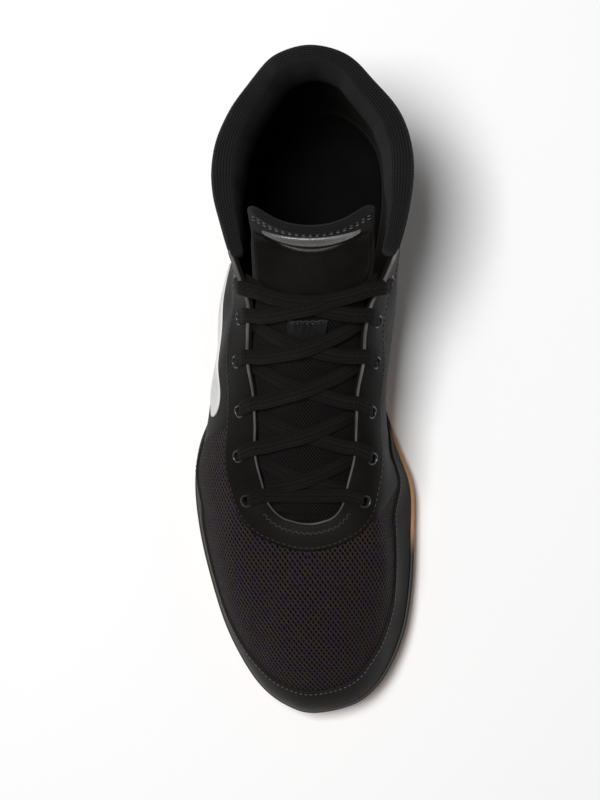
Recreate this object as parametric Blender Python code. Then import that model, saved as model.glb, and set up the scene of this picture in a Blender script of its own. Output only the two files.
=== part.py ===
"""A right wrestling shoe: a hollow padded upper on a gum rubber sole, laced over its tongue.

Metres, +Z up. The toe points to -Y, +X is the inner (medial) side, and the sole's pads stand on z = 0.
The upper is a shell of ribs. Each rib is one curve from the sole's edge to the top line, and every
overlay, the tongue and the laces take their places from those ribs.
"""

import math

import bmesh
import bpy
import numpy as np

# Driving sizes of the last and the sole
LENGTH = 0.2902
BALL_WIDTH = 0.1046
HEEL_WIDTH = 0.0670
THROAT_WIDTH = 0.0508
COLLAR_WIDTH = 0.0836
INSTEP_HEIGHT = 0.0850
COLLAR_HEIGHT = 0.1190
TOE_SPRING = 0.0100
ARCH_RISE = 0.0030
HEEL_OVERHANG = 0.0048
LINE_X = -0.0003

# Thicknesses and clearances
GAP = 0.0003
FILM_GAP = 0.0005
SOFT_GAP = 0.0010
WALL = 0.0020
PAD_DEPTH = 0.0016
SEAT_HEIGHT = 0.0055
LIP_HEIGHT = 0.0105
LIP_THICKNESS = 0.0020
SIDE_STEP = 0.0007
INSOLE_THICKNESS = 0.0040
OVERLAY = 0.0009
BAND_THICKNESS = 0.0006

# Toe guard, eyestay and side band. Their ends are stations, counted from the toe tip.
GUARD_FRONT = 0.0190
GUARD_MEDIAL = 0.0205
GUARD_LATERAL = 0.0150
GUARD_START = 0.0025
GUARD_ENDS = 8.8
GUARD_TAPER = 2.4
GUARD_FRONT_REACH = 5.0
EYESTAY_FRONT = 0.0125
EYESTAY_SIDE = 0.0190
EYESTAY_FRONT_REACH = 3.0
EYESTAY_SIDE_FROM = 7.0
BAND_LOW = 0.0330
BAND_WIDTH = 0.0190
BAND_FRONT_END = 8.6
BAND_REAR_END = 13.2
BAND_END_POWER = 6

# Eyelets and lace
EYELET_RADIUS = 0.0021
EYELET_INSET = 0.0090
LACE_WIDTH = 0.0064
LACE_THICKNESS = 0.0015
TOP_BAR_DROOP = 0.5

# Collar cuff and tongue
CUFF_RISE = 0.0075
CUFF_PAD = 0.0078
CUFF_DEPTH = 0.0300
CUFF_START_SHARE = 0.30
CUFF_SWELL_STATIONS = 2.0
TONGUE_WIDTH = 0.0600
TONGUE_THICKNESS = 0.0045
TONGUE_PAD = 0.0070
TONGUE_RISE = 0.0170
TONGUE_CROWN = 0.0110
TONGUE_CURL = 0.0110
TONGUE_CURL_FROM = 12.4
EDGE_INSET = 0.0004
ARCH_POWER = 2.4
LABEL_WIDTH = 0.0520
LABEL_LOW = 12.2
LABEL_HIGH = 13.72
TAB_WIDTH = 0.0430
TAB_HIGH = 14.15
TAB_END_DEPTH = 0.06
TAB_MIDDLE_DEPTH = 0.36
POCKET_WIDTH = 0.0170
POCKET_THICKNESS = 0.0012
POCKET_LOW = 10.4
POCKET_HIGH = 11.7

# Tread pads
TREAD_PAD_RADIUS = 0.0075
TREAD_PAD_PITCH = 0.0172

# Stations run from the toe tip (row 0) to the back of the heel (the last row), on both sides.
# sole_back and top_back are shares of LENGTH from the toe tip, sole_mid and top_mid shares of BALL_WIDTH.
# The sole's half width is ball * BALL_WIDTH + heel * HEEL_WIDTH. The top line's half width is
# throat * THROAT_WIDTH + collar * COLLAR_WIDTH, and its height is
# instep * INSTEP_HEIGHT + ankle * COLLAR_HEIGHT.
SECTION_COLUMNS = (
    "sole_back", "sole_mid", "ball", "heel",
    "top_back", "top_mid", "throat", "collar", "instep", "ankle",
)
SECTIONS = (
    (0.000, 0.042, 0.000, 0.000, 0.315, 0.050, 0.000, 0.000, 0.706, 0.000),
    (0.012, 0.068, 0.118, 0.000, 0.316, 0.049, 0.070, 0.000, 0.706, 0.000),
    (0.038, 0.070, 0.238, 0.000, 0.319, 0.048, 0.138, 0.000, 0.706, 0.000),
    (0.079, 0.065, 0.336, 0.000, 0.324, 0.046, 0.216, 0.000, 0.709, 0.000),
    (0.140, 0.052, 0.412, 0.000, 0.335, 0.043, 0.288, 0.000, 0.718, 0.000),
    (0.216, 0.032, 0.462, 0.000, 0.352, 0.039, 0.343, 0.000, 0.733, 0.000),
    (0.292, 0.010, 0.490, 0.000, 0.378, 0.038, 0.380, 0.000, 0.756, 0.000),
    (0.368, -0.004, 0.499, 0.000, 0.423, 0.040, 0.437, 0.000, 0.804, 0.000),
    (0.433, -0.026, 0.458, 0.000, 0.471, 0.046, 0.441, 0.000, 0.861, 0.000),
    (0.492, -0.024, 0.397, 0.000, 0.519, 0.048, 0.453, 0.000, 0.925, 0.000),
    (0.550, -0.019, 0.250, 0.147, 0.564, 0.053, 0.496, 0.000, 0.994, 0.000),
    (0.612, -0.005, 0.110, 0.321, 0.609, 0.061, 0.500, 0.000, 1.071, 0.000),
    (0.667, 0.019, 0.000, 0.478, 0.650, 0.079, 0.522, 0.000, 1.000, 0.101),
    (0.723, 0.043, 0.000, 0.481, 0.692, 0.094, 0.313, 0.190, 0.500, 0.508),
    (0.778, 0.060, 0.000, 0.493, 0.747, 0.098, 0.000, 0.449, 0.000, 0.895),
    (0.833, 0.072, 0.000, 0.501, 0.812, 0.094, 0.000, 0.500, 0.000, 0.866),
    (0.885, 0.078, 0.000, 0.485, 0.874, 0.096, 0.000, 0.493, 0.000, 0.849),
    (0.929, 0.083, 0.000, 0.427, 0.926, 0.101, 0.000, 0.424, 0.000, 0.868),
    (0.964, 0.086, 0.000, 0.322, 0.969, 0.097, 0.000, 0.300, 0.000, 0.906),
    (0.990, 0.088, 0.000, 0.172, 1.000, 0.097, 0.000, 0.150, 0.000, 0.974),
    (1.000, 0.089, 0.000, 0.000, 1.012, 0.099, 0.000, 0.000, 0.000, 1.000),
)

# Each rib is a cubic curve. rise and drop are shares of the rib's height, and say how far its two inner
# handles stand above the sole's edge and hang below the top line. lean_medial, lean_lateral and out are
# shares of BALL_WIDTH, and say how far the handles stand outside those two lines.
RIB_COLUMNS = ("station", "rise", "lean_medial", "lean_lateral", "out", "drop")
RIBS = (
    (0, 0.46, -0.020, -0.020, 0.480, 0.03),
    (2, 0.45, -0.046, -0.028, 0.440, 0.03),
    (4, 0.44, -0.100, -0.024, 0.330, 0.04),
    (6, 0.44, -0.118, -0.012, 0.200, 0.06),
    (8, 0.44, -0.040, 0.010, 0.140, 0.12),
    (10, 0.40, 0.150, 0.110, 0.115, 0.18),
    (12, 0.38, 0.200, 0.190, 0.080, 0.22),
    (14, 0.36, 0.130, 0.100, -0.020, 0.30),
    (16, 0.32, 0.065, 0.065, -0.075, 0.33),
    (18, 0.30, 0.090, 0.090, -0.090, 0.35),
    (20, 0.28, 0.110, 0.110, -0.095, 0.36),
)

# The tongue: crown is a share of TONGUE_CROWN, half of TONGUE_WIDTH, and its thickness is
# body * TONGUE_THICKNESS + pad * TONGUE_PAD.
TONGUE_COLUMNS = ("station", "crown", "half", "body", "pad")
TONGUE_TABLE = (
    (0, 0.00, 0.20, 0.75, 0.00),
    (2, 0.08, 0.29, 0.85, 0.00),
    (5, 0.35, 0.42, 1.00, 0.00),
    (8, 0.60, 0.47, 1.00, 0.00),
    (11, 0.80, 0.51, 1.00, 0.00),
    (14, 1.00, 0.49, 0.00, 1.00),
)

# The cuff's inner face, from the pad's lower end to the roll's top: depth is a share of CUFF_DEPTH below the
# top line, way_in of CUFF_PAD from the wall, and rise of CUFF_RISE above the line.
CUFF_COLUMNS = ("depth", "way_in", "rise")
CUFF_FACE = (
    (1.00, 0.30, 0.00),
    (0.62, 0.80, 0.00),
    (0.22, 1.00, 0.00),
    (0.00, 0.97, 0.30),
    (0.00, 0.72, 0.80),
)

# The rest of the roll, over its top and down in front of the edge: way_in is a share of the pad and the
# wall together, rise of CUFF_RISE.
CUFF_TOP = ((0.30, 1.00), (0.06, 0.86), (-0.04, 0.48))

# Rows of eyelets, as stations along the throat
EYELET_STATIONS = (5.45, 7.05, 8.45, 10.05, 11.45, 12.85)

STAND = LIP_HEIGHT - SEAT_HEIGHT
LAST_STATION = len(SECTIONS) - 1
CORNER_STATION = 14.0
EYESTAY_ENDS = CORNER_STATION - 0.3
CUFF_FIRST = CORNER_STATION - 0.6
RING_STEPS = 72
RIB_STEPS = 12
TOE_Y = -(LENGTH + HEEL_OVERHANG) / 2


def column(rows, names, name):
    return np.array([row[names.index(name)] for row in rows])


def smooth_closed(knots, at):
    """Points on the closed Catmull-Rom curve through the knots, at parameters counted in knots."""
    count = len(knots)
    first = np.floor(at).astype(int)
    share = (at - first)[:, None]
    before, here, after, beyond = (knots[(first + step) % count] for step in (-1, 0, 1, 2))
    return 0.5 * (
        2 * here
        + (after - before) * share
        + (2 * before - 5 * here + 4 * after - beyond) * share**2
        + (3 * here - before - 3 * after + beyond) * share**3
    )


def closed_loop(back, mid, half, height):
    """Knots of a loop: toe tip, medial side, heel back, then the lateral side to the toe again."""
    y = TOE_Y + back
    medial = np.stack([LINE_X + mid + half, y, height], axis=1)
    lateral = np.stack([LINE_X + mid - half, y, height], axis=1)
    return np.concatenate([medial, lateral[-2:0:-1]])


def section(name):
    return column(SECTIONS, SECTION_COLUMNS, name)


SOLE_LOOP = closed_loop(
    section("sole_back") * LENGTH,
    section("sole_mid") * BALL_WIDTH,
    section("ball") * BALL_WIDTH + section("heel") * HEEL_WIDTH,
    np.zeros(len(SECTIONS)),
)
TOP_LOOP = closed_loop(
    section("top_back") * LENGTH,
    section("top_mid") * BALL_WIDTH,
    section("throat") * THROAT_WIDTH + section("collar") * COLLAR_WIDTH,
    section("instep") * INSTEP_HEIGHT + section("ankle") * COLLAR_HEIGHT,
)


def spring(y):
    """Height of the sole's curve above the floor: flat, then rising as a square towards the toe."""
    start = TOE_Y + 0.27 * LENGTH
    return TOE_SPRING * np.clip((start - y) / (start - TOE_Y), 0, None) ** 2


def plan_normal(loop, at):
    """Unit vectors square to the loop in plan, pointing away from the shoe's middle."""
    ahead = smooth_closed(loop, at + 0.05) - smooth_closed(loop, at - 0.05)
    normal = np.stack([ahead[:, 1], -ahead[:, 0], np.zeros(len(at))], axis=1)
    return normal / np.linalg.norm(normal, axis=1, keepdims=True)


def sole_edge(at, inset, height):
    """The sole's outline moved inwards, at a height above the sole's own curve."""
    points = smooth_closed(SOLE_LOOP, at) - inset * plan_normal(SOLE_LOOP, at)
    points[:, 2] = height + spring(points[:, 1])
    return points


def rib_handles(at):
    """The four handles of each rib's curve, from the top of the sole's lip to the top line."""
    station = np.where(at <= LAST_STATION, at, 2 * LAST_STATION - at)
    medial = at <= LAST_STATION
    rows = column(RIBS, RIB_COLUMNS, "station")

    def value(name):
        return np.interp(station, rows, column(RIBS, RIB_COLUMNS, name))[:, None]

    foot = sole_edge(at, LIP_THICKNESS + GAP, LIP_HEIGHT + GAP)
    top = smooth_closed(TOP_LOOP, at)
    height = (top - foot)[:, 2:]
    up = np.array([0.0, 0.0, 1.0])
    lean = np.where(medial[:, None], value("lean_medial"), value("lean_lateral"))
    low = foot + value("rise") * height * up + lean * BALL_WIDTH * plan_normal(SOLE_LOOP, at)
    high = top - value("drop") * height * up + value("out") * BALL_WIDTH * plan_normal(TOP_LOOP, at)
    return foot, low, high, top


def rib_points(at, share):
    """Points on the ribs. share has one row for each rib, 0 at the sole's seat and 1 at the top line.

    A rib stands straight up behind the sole's lip, and its curve starts at the lip's top.
    """
    handles = rib_handles(at)
    fine = np.linspace(0, 1, 33)

    def curve(t):
        t = t[:, :, None]
        foot, low, high, top = (handle[:, None, :] for handle in handles)
        return (1 - t) ** 3 * foot + 3 * (1 - t) ** 2 * t * low + 3 * (1 - t) * t**2 * high + t**3 * top

    trace = curve(np.broadcast_to(fine, (len(at), len(fine))))
    along = np.linalg.norm(np.diff(trace, axis=1), axis=2).cumsum(axis=1)
    along = np.concatenate([np.zeros((len(at), 1)), along], axis=1)
    length = STAND + along[:, -1]
    reached = share * length[:, None] - STAND
    t = np.stack([np.interp(row, run, fine) for row, run in zip(reached, along)])
    points = curve(t)
    points[:, :, 2] += np.minimum(reached, 0)
    return points, length


def skin(at, share, out=0.0):
    """The upper's outer face, moved outwards by out, on a grid of parameters and shares."""
    step = 0.02
    points, _ = rib_points(at, share)
    around = rib_points(at + step, share)[0] - rib_points(at - step, share)[0]
    upward = rib_points(at, np.clip(share + step, 0, 1))[0] - rib_points(at, np.clip(share - step, 0, 1))[0]
    normal = np.cross(around, upward)
    normal /= np.linalg.norm(normal, axis=2, keepdims=True)
    return points + out * normal


def rib_length(at):
    return rib_points(at, np.zeros((len(at), 1)))[1]


def from_sole(at, distance):
    """Share along each rib that lies at a distance from the sole's seat."""
    return distance / rib_length(at)


def from_top(at, distance):
    return 1 - distance / rib_length(at)


def between(low, high, steps):
    """Rows of evenly spaced shares from low to high, one row for each rib."""
    return low[:, None] + (high - low)[:, None] * np.linspace(0, 1, steps)


def material(name, colour, roughness, metallic=0.0):
    made = bpy.data.materials.new(name)
    made.use_nodes = True
    shader = made.node_tree.nodes["Principled BSDF"]
    shader.inputs["Base Color"].default_value = (*colour, 1.0)
    shader.inputs["Roughness"].default_value = roughness
    shader.inputs["Metallic"].default_value = metallic
    return made


def mesh_object(name, points, faces, finish=None):
    """An object from points and faces, with its faces turned to point outwards."""
    mesh = bpy.data.meshes.new(name)
    mesh.from_pydata([tuple(point) for point in points], [], faces)
    made = bmesh.new()
    made.from_mesh(mesh)
    bmesh.ops.recalc_face_normals(made, faces=made.faces)
    made.to_mesh(mesh)
    made.free()
    mesh.shade_smooth()
    mesh.set_sharp_from_angle(angle=math.radians(40))
    thing = bpy.data.objects.new(name, mesh)
    bpy.context.scene.collection.objects.link(thing)
    if finish:
        mesh.materials.append(finish)
    return thing


def skinned_solid(name, outer, inner, finish, closed=False):
    """One solid between an outer and an inner grid, rows along the shoe and columns across the piece."""
    rows, columns, _ = outer.shape
    sections = np.concatenate([outer, inner[:, ::-1]], axis=1)
    around = 2 * columns
    faces = []
    for row in range(rows if closed else rows - 1):
        after = (row + 1) % rows
        for here in range(around):
            beside = (here + 1) % around
            faces.append(
                (row * around + here, row * around + beside, after * around + beside, after * around + here)
            )
    if not closed:
        for row in (0, rows - 1):
            for here in range(columns - 1):
                faces.append(tuple(
                    row * around + corner
                    for corner in (here, here + 1, around - 2 - here, around - 1 - here)
                ))
    return mesh_object(name, sections.reshape(-1, 3), faces, finish)


def ringed_solid(name, rings, finish=None):
    """One solid from closed rings stacked from the bottom cap to the top cap, each cap in cross strips."""
    count = len(rings[0])
    faces = []
    for level in range(len(rings) - 1):
        for here in range(count):
            beside = (here + 1) % count
            low, high = level * count, (level + 1) * count
            faces.append((low + here, low + beside, high + beside, high + here))
    for base in (0, (len(rings) - 1) * count):
        for here in range(1, count // 2 - 1):
            faces.append((base + here, base + here + 1, base + count - here - 1, base + count - here))
        faces.append((base, base + 1, base + count - 1))
        faces.append((base + count // 2 - 1, base + count // 2, base + count // 2 + 1))
    return mesh_object(name, np.concatenate(rings), faces, finish)


def combine(target, other, operation):
    """A Boolean on the target. The other object stays as a hidden wire guide."""
    other.hide_render = True
    other.display_type = "WIRE"
    change = target.modifiers.new(operation.title(), "BOOLEAN")
    change.operation = operation
    change.solver = "EXACT"
    change.object = other
    return change


def ring_parameters():
    return np.linspace(0, 2 * LAST_STATION, RING_STEPS, endpoint=False)


def arch(points):
    """Lift of the sole's underside at the waist, most on the medial side."""
    centre, reach = TOE_Y + 0.57 * LENGTH, 0.15 * LENGTH
    bump = np.clip(1 - ((points[:, 1] - centre) / reach) ** 2, 0, 1) ** 2
    side = np.clip(0.5 + points[:, 0] / HEEL_WIDTH, 0, 1)
    return ARCH_RISE * bump * side


def tread_pads():
    """Six-sided pads in staggered rows, where the sole's underside is wide enough to hold them."""
    pads = bmesh.new()
    low, high = TOE_Y + 0.05 * LENGTH, TOE_Y + 0.96 * LENGTH
    row_pitch = TREAD_PAD_PITCH * math.sqrt(3) / 2
    edge = sole_edge(np.linspace(0, LAST_STATION, 200), 0.0, 0.0)
    other = sole_edge(np.linspace(2 * LAST_STATION, LAST_STATION, 200), 0.0, 0.0)
    waist_start, waist_end = TOE_Y + 0.44 * LENGTH, TOE_Y + 0.70 * LENGTH
    clear = TREAD_PAD_RADIUS + 2 * LIP_THICKNESS
    for row in range(int((high - low) / row_pitch) + 1):
        y = low + row * row_pitch
        if waist_start < y < waist_end:
            continue
        limits = [
            (np.interp(y + reach, other[:, 1], other[:, 0]), np.interp(y + reach, edge[:, 1], edge[:, 0]))
            for reach in (-TREAD_PAD_RADIUS, TREAD_PAD_RADIUS)
        ]
        left = max(limit[0] for limit in limits) + clear
        right = min(limit[1] for limit in limits) - clear
        shift = 0.5 * (row % 2) * TREAD_PAD_PITCH
        for place in range(-5, 6):
            x = place * TREAD_PAD_PITCH + shift
            if not left <= x <= right:
                continue
            ends = []
            for z in (0.0, 2 * PAD_DEPTH):
                ends.append([
                    pads.verts.new((
                        x + TREAD_PAD_RADIUS * math.sin(math.tau * corner / 6),
                        y + TREAD_PAD_RADIUS * math.cos(math.tau * corner / 6),
                        z + float(spring(y + TREAD_PAD_RADIUS * math.cos(math.tau * corner / 6))),
                    ))
                    for corner in range(6)
                ])
            pads.faces.new(ends[0])
            pads.faces.new(ends[1][::-1])
            for corner in range(6):
                after = (corner + 1) % 6
                pads.faces.new((ends[0][corner], ends[1][corner], ends[1][after], ends[0][after]))
    bmesh.ops.recalc_face_normals(pads, faces=pads.faces)
    mesh = bpy.data.meshes.new("tread_pads")
    pads.to_mesh(mesh)
    pads.free()
    thing = bpy.data.objects.new("tread_pads", mesh)
    bpy.context.scene.collection.objects.link(thing)
    return thing


def make_outsole():
    """Gum rubber sole: a bevelled underside, a side wall with one sunk line, a lip and a sunk seat."""
    at = ring_parameters()
    middle = (PAD_DEPTH + LIP_HEIGHT) / 2
    rings = [
        sole_edge(at, 2 * LIP_THICKNESS, PAD_DEPTH),
        sole_edge(at, SIDE_STEP, PAD_DEPTH + LIP_THICKNESS),
        sole_edge(at, 0.0, middle),
        sole_edge(at, SIDE_STEP, middle + SIDE_STEP),
        sole_edge(at, 0.0, middle + 2 * SIDE_STEP),
        sole_edge(at, 0.0, LIP_HEIGHT),
        sole_edge(at, LIP_THICKNESS, LIP_HEIGHT),
        sole_edge(at, LIP_THICKNESS, SEAT_HEIGHT),
    ]
    rings[0][:, 2] += arch(rings[0])
    outsole = ringed_solid("outsole", rings, material("gum_rubber", (0.42, 0.20, 0.09), 0.6))
    combine(outsole, tread_pads(), "UNION")


def make_insole():
    at = ring_parameters()
    inset = LIP_THICKNESS + GAP + WALL + GAP
    low, high = SEAT_HEIGHT + GAP, SEAT_HEIGHT + GAP + INSOLE_THICKNESS
    edge = 0.15 * INSOLE_THICKNESS
    rings = [
        sole_edge(at, inset + edge, low),
        sole_edge(at, inset + edge, high - edge),
        sole_edge(at, inset + 2 * edge, high),
    ]
    ringed_solid("insole", rings, material("sock_lining", (0.05, 0.05, 0.055), 0.9))


def eyelet_places():
    """Parameter and share of each eyelet: all medial ones, then all lateral ones."""
    medial = np.array(EYELET_STATIONS)
    at = np.concatenate([medial, 2 * LAST_STATION - medial])
    return at, from_top(at, EYELET_INSET)[:, None]


def eyelet_cutters(name):
    """Six-sided pegs square to the upper's face, long enough to pass wall and overlay."""
    at, share = eyelet_places()
    inside, outside = skin(at, share, -3 * WALL)[:, 0], skin(at, share, 3 * WALL)[:, 0]
    made = bmesh.new()
    for low, high in zip(inside, outside):
        axis = (high - low) / np.linalg.norm(high - low)
        side = np.cross(axis, (0.0, 1.0, 0.0))
        side /= np.linalg.norm(side)
        other = np.cross(axis, side)
        rings = []
        for end in (low, high):
            turns = [math.tau * (corner + 0.37) / 6 for corner in range(6)]
            rings.append([
                made.verts.new(end + EYELET_RADIUS * (math.cos(turn) * side + math.sin(turn) * other))
                for turn in turns
            ])
        made.faces.new(rings[0])
        made.faces.new(rings[1][::-1])
        for corner in range(6):
            after = (corner + 1) % 6
            made.faces.new((rings[0][corner], rings[1][corner], rings[1][after], rings[0][after]))
    bmesh.ops.recalc_face_normals(made, faces=made.faces)
    mesh = bpy.data.meshes.new(name)
    made.to_mesh(mesh)
    made.free()
    thing = bpy.data.objects.new(name, mesh)
    bpy.context.scene.collection.objects.link(thing)
    return thing


def make_upper(cutters):
    """The hollow shell, open underneath and along its whole top line."""
    at = ring_parameters()
    lip_top = from_sole(at, STAND)
    curved = between(lip_top, np.ones(len(at)), RIB_STEPS - 1)
    share = np.concatenate([np.zeros((len(at), 1)), curved], axis=1)
    outer = skin(at, share)
    inner = skin(at, share, -WALL)
    cloth = material("black_mesh", (0.012, 0.011, 0.012), 0.85)
    upper = skinned_solid("upper", outer, inner, cloth, closed=True)
    combine(upper, cutters, "DIFFERENCE")


def overlay(name, at, low, high, thickness, finish, steps=3):
    """A thin piece lying on the upper between two lines of shares."""
    share = between(low, high, steps)
    outer = skin(at, share, FILM_GAP + thickness)
    inner = skin(at, share, FILM_GAP)
    return skinned_solid(name, outer, inner, finish)


def span(first, last):
    """The ring's own parameters between two ends, with the ends, so that facets lie along the upper's."""
    turn = 2 * LAST_STATION
    ring = np.concatenate([ring_parameters() - turn, ring_parameters()])
    step = turn / RING_STEPS
    inner = ring[(ring > first + 0.3 * step) & (ring < last - 0.3 * step)]
    return np.concatenate([[first], inner, [last]])


def make_toe_guard():
    """Band round the toe and along the forefoot, deepest at the toe, standing on the sole's lip."""
    at = span(-GUARD_ENDS, GUARD_ENDS) % (2 * LAST_STATION)
    near = np.minimum(at, 2 * LAST_STATION - at)
    low = from_sole(at, STAND + 3 * GAP)
    side = np.where(at <= LAST_STATION, GUARD_MEDIAL, GUARD_LATERAL)
    deep = side + (GUARD_FRONT - side) * np.clip(1 - near / GUARD_FRONT_REACH, 0, 1)
    taper = np.sqrt(np.clip((GUARD_ENDS - near) / GUARD_TAPER, 0, 1))
    high = low + from_sole(at, GUARD_START + (deep - GUARD_START) * taper)
    overlay("toe_guard", at, low, high, OVERLAY, material("guard_film", (0.015, 0.015, 0.016), 0.45))


def make_eyestay(cutters):
    """Overlay round the throat from one collar corner to the other."""
    at = span(-EYESTAY_ENDS, EYESTAY_ENDS) % (2 * LAST_STATION)
    near = np.minimum(at, 2 * LAST_STATION - at)
    widening = np.clip((near - EYESTAY_FRONT_REACH) / (EYESTAY_SIDE_FROM - EYESTAY_FRONT_REACH), 0, 1)
    low = from_top(at, EYESTAY_FRONT + (EYESTAY_SIDE - EYESTAY_FRONT) * widening)
    high = from_top(at, GAP)
    film = material("eyestay_film", (0.018, 0.018, 0.019), 0.5)
    eyestay = overlay("eyestay", at, low, high, OVERLAY, film, 4)
    combine(eyestay, cutters, "DIFFERENCE")


def make_side_band():
    """Plain band with round ends along the lateral side."""
    first, last = 2 * LAST_STATION - BAND_REAR_END, 2 * LAST_STATION - BAND_FRONT_END
    at = span(first, last)
    along = (at - first) / (last - first)
    end_width = (WALL / BAND_WIDTH) ** 2
    round_end = np.sqrt(np.clip(1 - np.abs(2 * along - 1) ** BAND_END_POWER, end_width, 1))
    middle = BAND_LOW + BAND_WIDTH / 2
    low = from_sole(at, middle - round_end * BAND_WIDTH / 2)
    high = from_sole(at, middle + round_end * BAND_WIDTH / 2)
    overlay("side_band", at, low, high, BAND_THICKNESS, material("white_film", (0.8, 0.8, 0.8), 0.45))


def make_collar_cuff():
    """Padded knit roll inside the collar, from one front corner round the heel to the other."""
    at = span(CUFF_FIRST, 2 * LAST_STATION - CUFF_FIRST)
    near = np.minimum(at, 2 * LAST_STATION - at)
    swelling = np.clip((near - CUFF_FIRST) / CUFF_SWELL_STATIONS, 0, 1)[:, None]
    full = CUFF_START_SHARE + (1 - CUFF_START_SHARE) * swelling
    edge = skin(at, np.ones((len(at), 1)))[:, 0]
    up = edge - skin(at, from_top(at, WALL)[:, None])[:, 0]
    up /= np.linalg.norm(up, axis=1, keepdims=True)
    behind = WALL + SOFT_GAP

    def place(depth, way_in, rise):
        """Depth below the top line, way in from the outer face, rise above the line."""
        base = skin(at, from_top(at, depth)[:, None])[:, 0]
        inward = skin(at, from_top(at, depth)[:, None], -WALL)[:, 0] - base
        return base + inward / WALL * way_in + up * rise

    inside = [
        place(depth * CUFF_DEPTH, behind + way_in * CUFF_PAD * full, rise * CUFF_RISE * full)
        for depth, way_in, rise in CUFF_FACE
    ]
    over, brow, front = [
        place(0.0, way_in * (behind + CUFF_PAD * full), rise * CUFF_RISE * full)
        for way_in, rise in CUFF_TOP
    ]
    inside += [over, brow]
    outside = [place(depth * CUFF_DEPTH, behind, 0.0) for depth, _, _ in CUFF_FACE[::2]]
    outside += [place(0.0, way_in * behind, GAP) for way_in in (1.0, 0.5, 0.0)]
    outside.append(front)
    skinned_solid(
        "collar_cuff", np.stack(inside, axis=1), np.stack(outside, axis=1),
        material("knit_lining", (0.022, 0.022, 0.025), 0.95),
    )


def throat_frame(station):
    """Seats of the tongue under the throat's two edges, and the way up out of the throat between them."""
    fine = np.linspace(1.0, FREE_STATION, 60)
    edge = from_top(fine, EDGE_INSET)[:, None]
    under = -(WALL + SOFT_GAP)
    medial = skin(fine, edge, under)[:, 0]
    lateral = skin(2 * LAST_STATION - fine, edge, under)[:, 0]
    normal = np.cross(medial - lateral, np.gradient((medial + lateral) / 2, axis=0))
    normal /= np.linalg.norm(normal, axis=1, keepdims=True)
    return tuple(
        np.stack([np.interp(station, fine, values[:, axis]) for axis in range(3)], axis=-1)
        for values in (medial, lateral, normal)
    )


def tongue_value(station, name):
    rows = column(TONGUE_TABLE, TONGUE_COLUMNS, "station")
    return np.interp(station, rows, column(TONGUE_TABLE, TONGUE_COLUMNS, name))


def crown(station):
    """Height of the tongue's back above the straight line between the throat's edges."""
    return TONGUE_CROWN * tongue_value(station, "crown")


def tongue_rows(station):
    """The tongue's top face: a row of points for each station, from the lateral to the medial edge.

    It arches between the throat's edges, its wings lie under the walls, and its free end curls back.
    """
    free = np.clip(station - FREE_STATION, 0, None)
    held = np.minimum(station, FREE_STATION)
    medial, lateral, normal = throat_frame(held)
    wing = np.tile(np.linspace(TONGUE_WIDTH / 2, WALL, 15), (len(held), 1))
    under = -(WALL + SOFT_GAP)

    def side(at):
        return skin(at, 1 - wing / rib_length(at)[:, None], under)

    sweep = np.linspace(-1, 1, 21)
    bridge = (
        lateral[:, None] + (medial - lateral)[:, None] * ((sweep + 1) / 2)[None, :, None]
        + normal[:, None] * (crown(held)[:, None] * (1 - np.abs(sweep) ** ARCH_POWER))[:, :, None]
    )
    line = np.concatenate([side(2 * LAST_STATION - held), bridge, side(held)[:, ::-1]], axis=1)
    run = np.linalg.norm(np.diff(line, axis=1), axis=2).cumsum(axis=1)
    run = np.concatenate([np.zeros((len(held), 1)), run], axis=1)
    middle = run[:, wing.shape[1] + len(sweep) // 2]
    points = np.empty((len(held), len(PLACES), 3))
    for row, half in enumerate(TONGUE_WIDTH * tongue_value(held, "half")):
        for axis in range(3):
            points[row, :, axis] = np.interp(middle[row] + half * PLACES, run[row], line[row, :, axis])
    points += (free * TONGUE_RISE)[:, None, None] * FREE_LEAN
    curl = np.clip((station - TONGUE_CURL_FROM) / (TONGUE_END - TONGUE_CURL_FROM), 0, 1) ** 2
    points[:, :, 1] += TONGUE_CURL * curl[:, None] * PLACES**2
    return points


def on_tongue(station, place, out=0.0):
    """Points on the tongue's top face. place runs from -1 at the lateral edge to 1 at the medial one."""
    station, place = np.broadcast_arrays(station, place)
    row = np.interp(station, TONGUE_FINE, np.arange(len(TONGUE_FINE)))
    side = np.interp(place, PLACES, np.arange(len(PLACES)))
    i = np.clip(row.astype(int), 0, len(TONGUE_FINE) - 2)
    j = np.clip(side.astype(int), 0, len(PLACES) - 2)
    u, v = (row - i)[..., None], (side - j)[..., None]
    corners = ((0, 0, (1 - u) * (1 - v)), (1, 0, u * (1 - v)), (0, 1, (1 - u) * v), (1, 1, u * v))
    return sum(
        weight * (TONGUE_GRID[i + down, j + beside] + out * TONGUE_NORMALS[i + down, j + beside])
        for down, beside, weight in corners
    )


def grid_normals(grid):
    normal = np.cross(np.gradient(grid, axis=1), np.gradient(grid, axis=0))
    return normal / np.linalg.norm(normal, axis=2, keepdims=True)


FREE_STATION = CORNER_STATION - 0.2
TONGUE_END = FREE_STATION + 1.0
FREE_LEAN = np.array([0.0, 0.42, 0.91])
PLACES = np.linspace(-1, 1, 41)
TONGUE_FINE = np.linspace(1.0, TONGUE_END, 90)
TONGUE_GRID = tongue_rows(TONGUE_FINE)
TONGUE_NORMALS = grid_normals(TONGUE_GRID)


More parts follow.
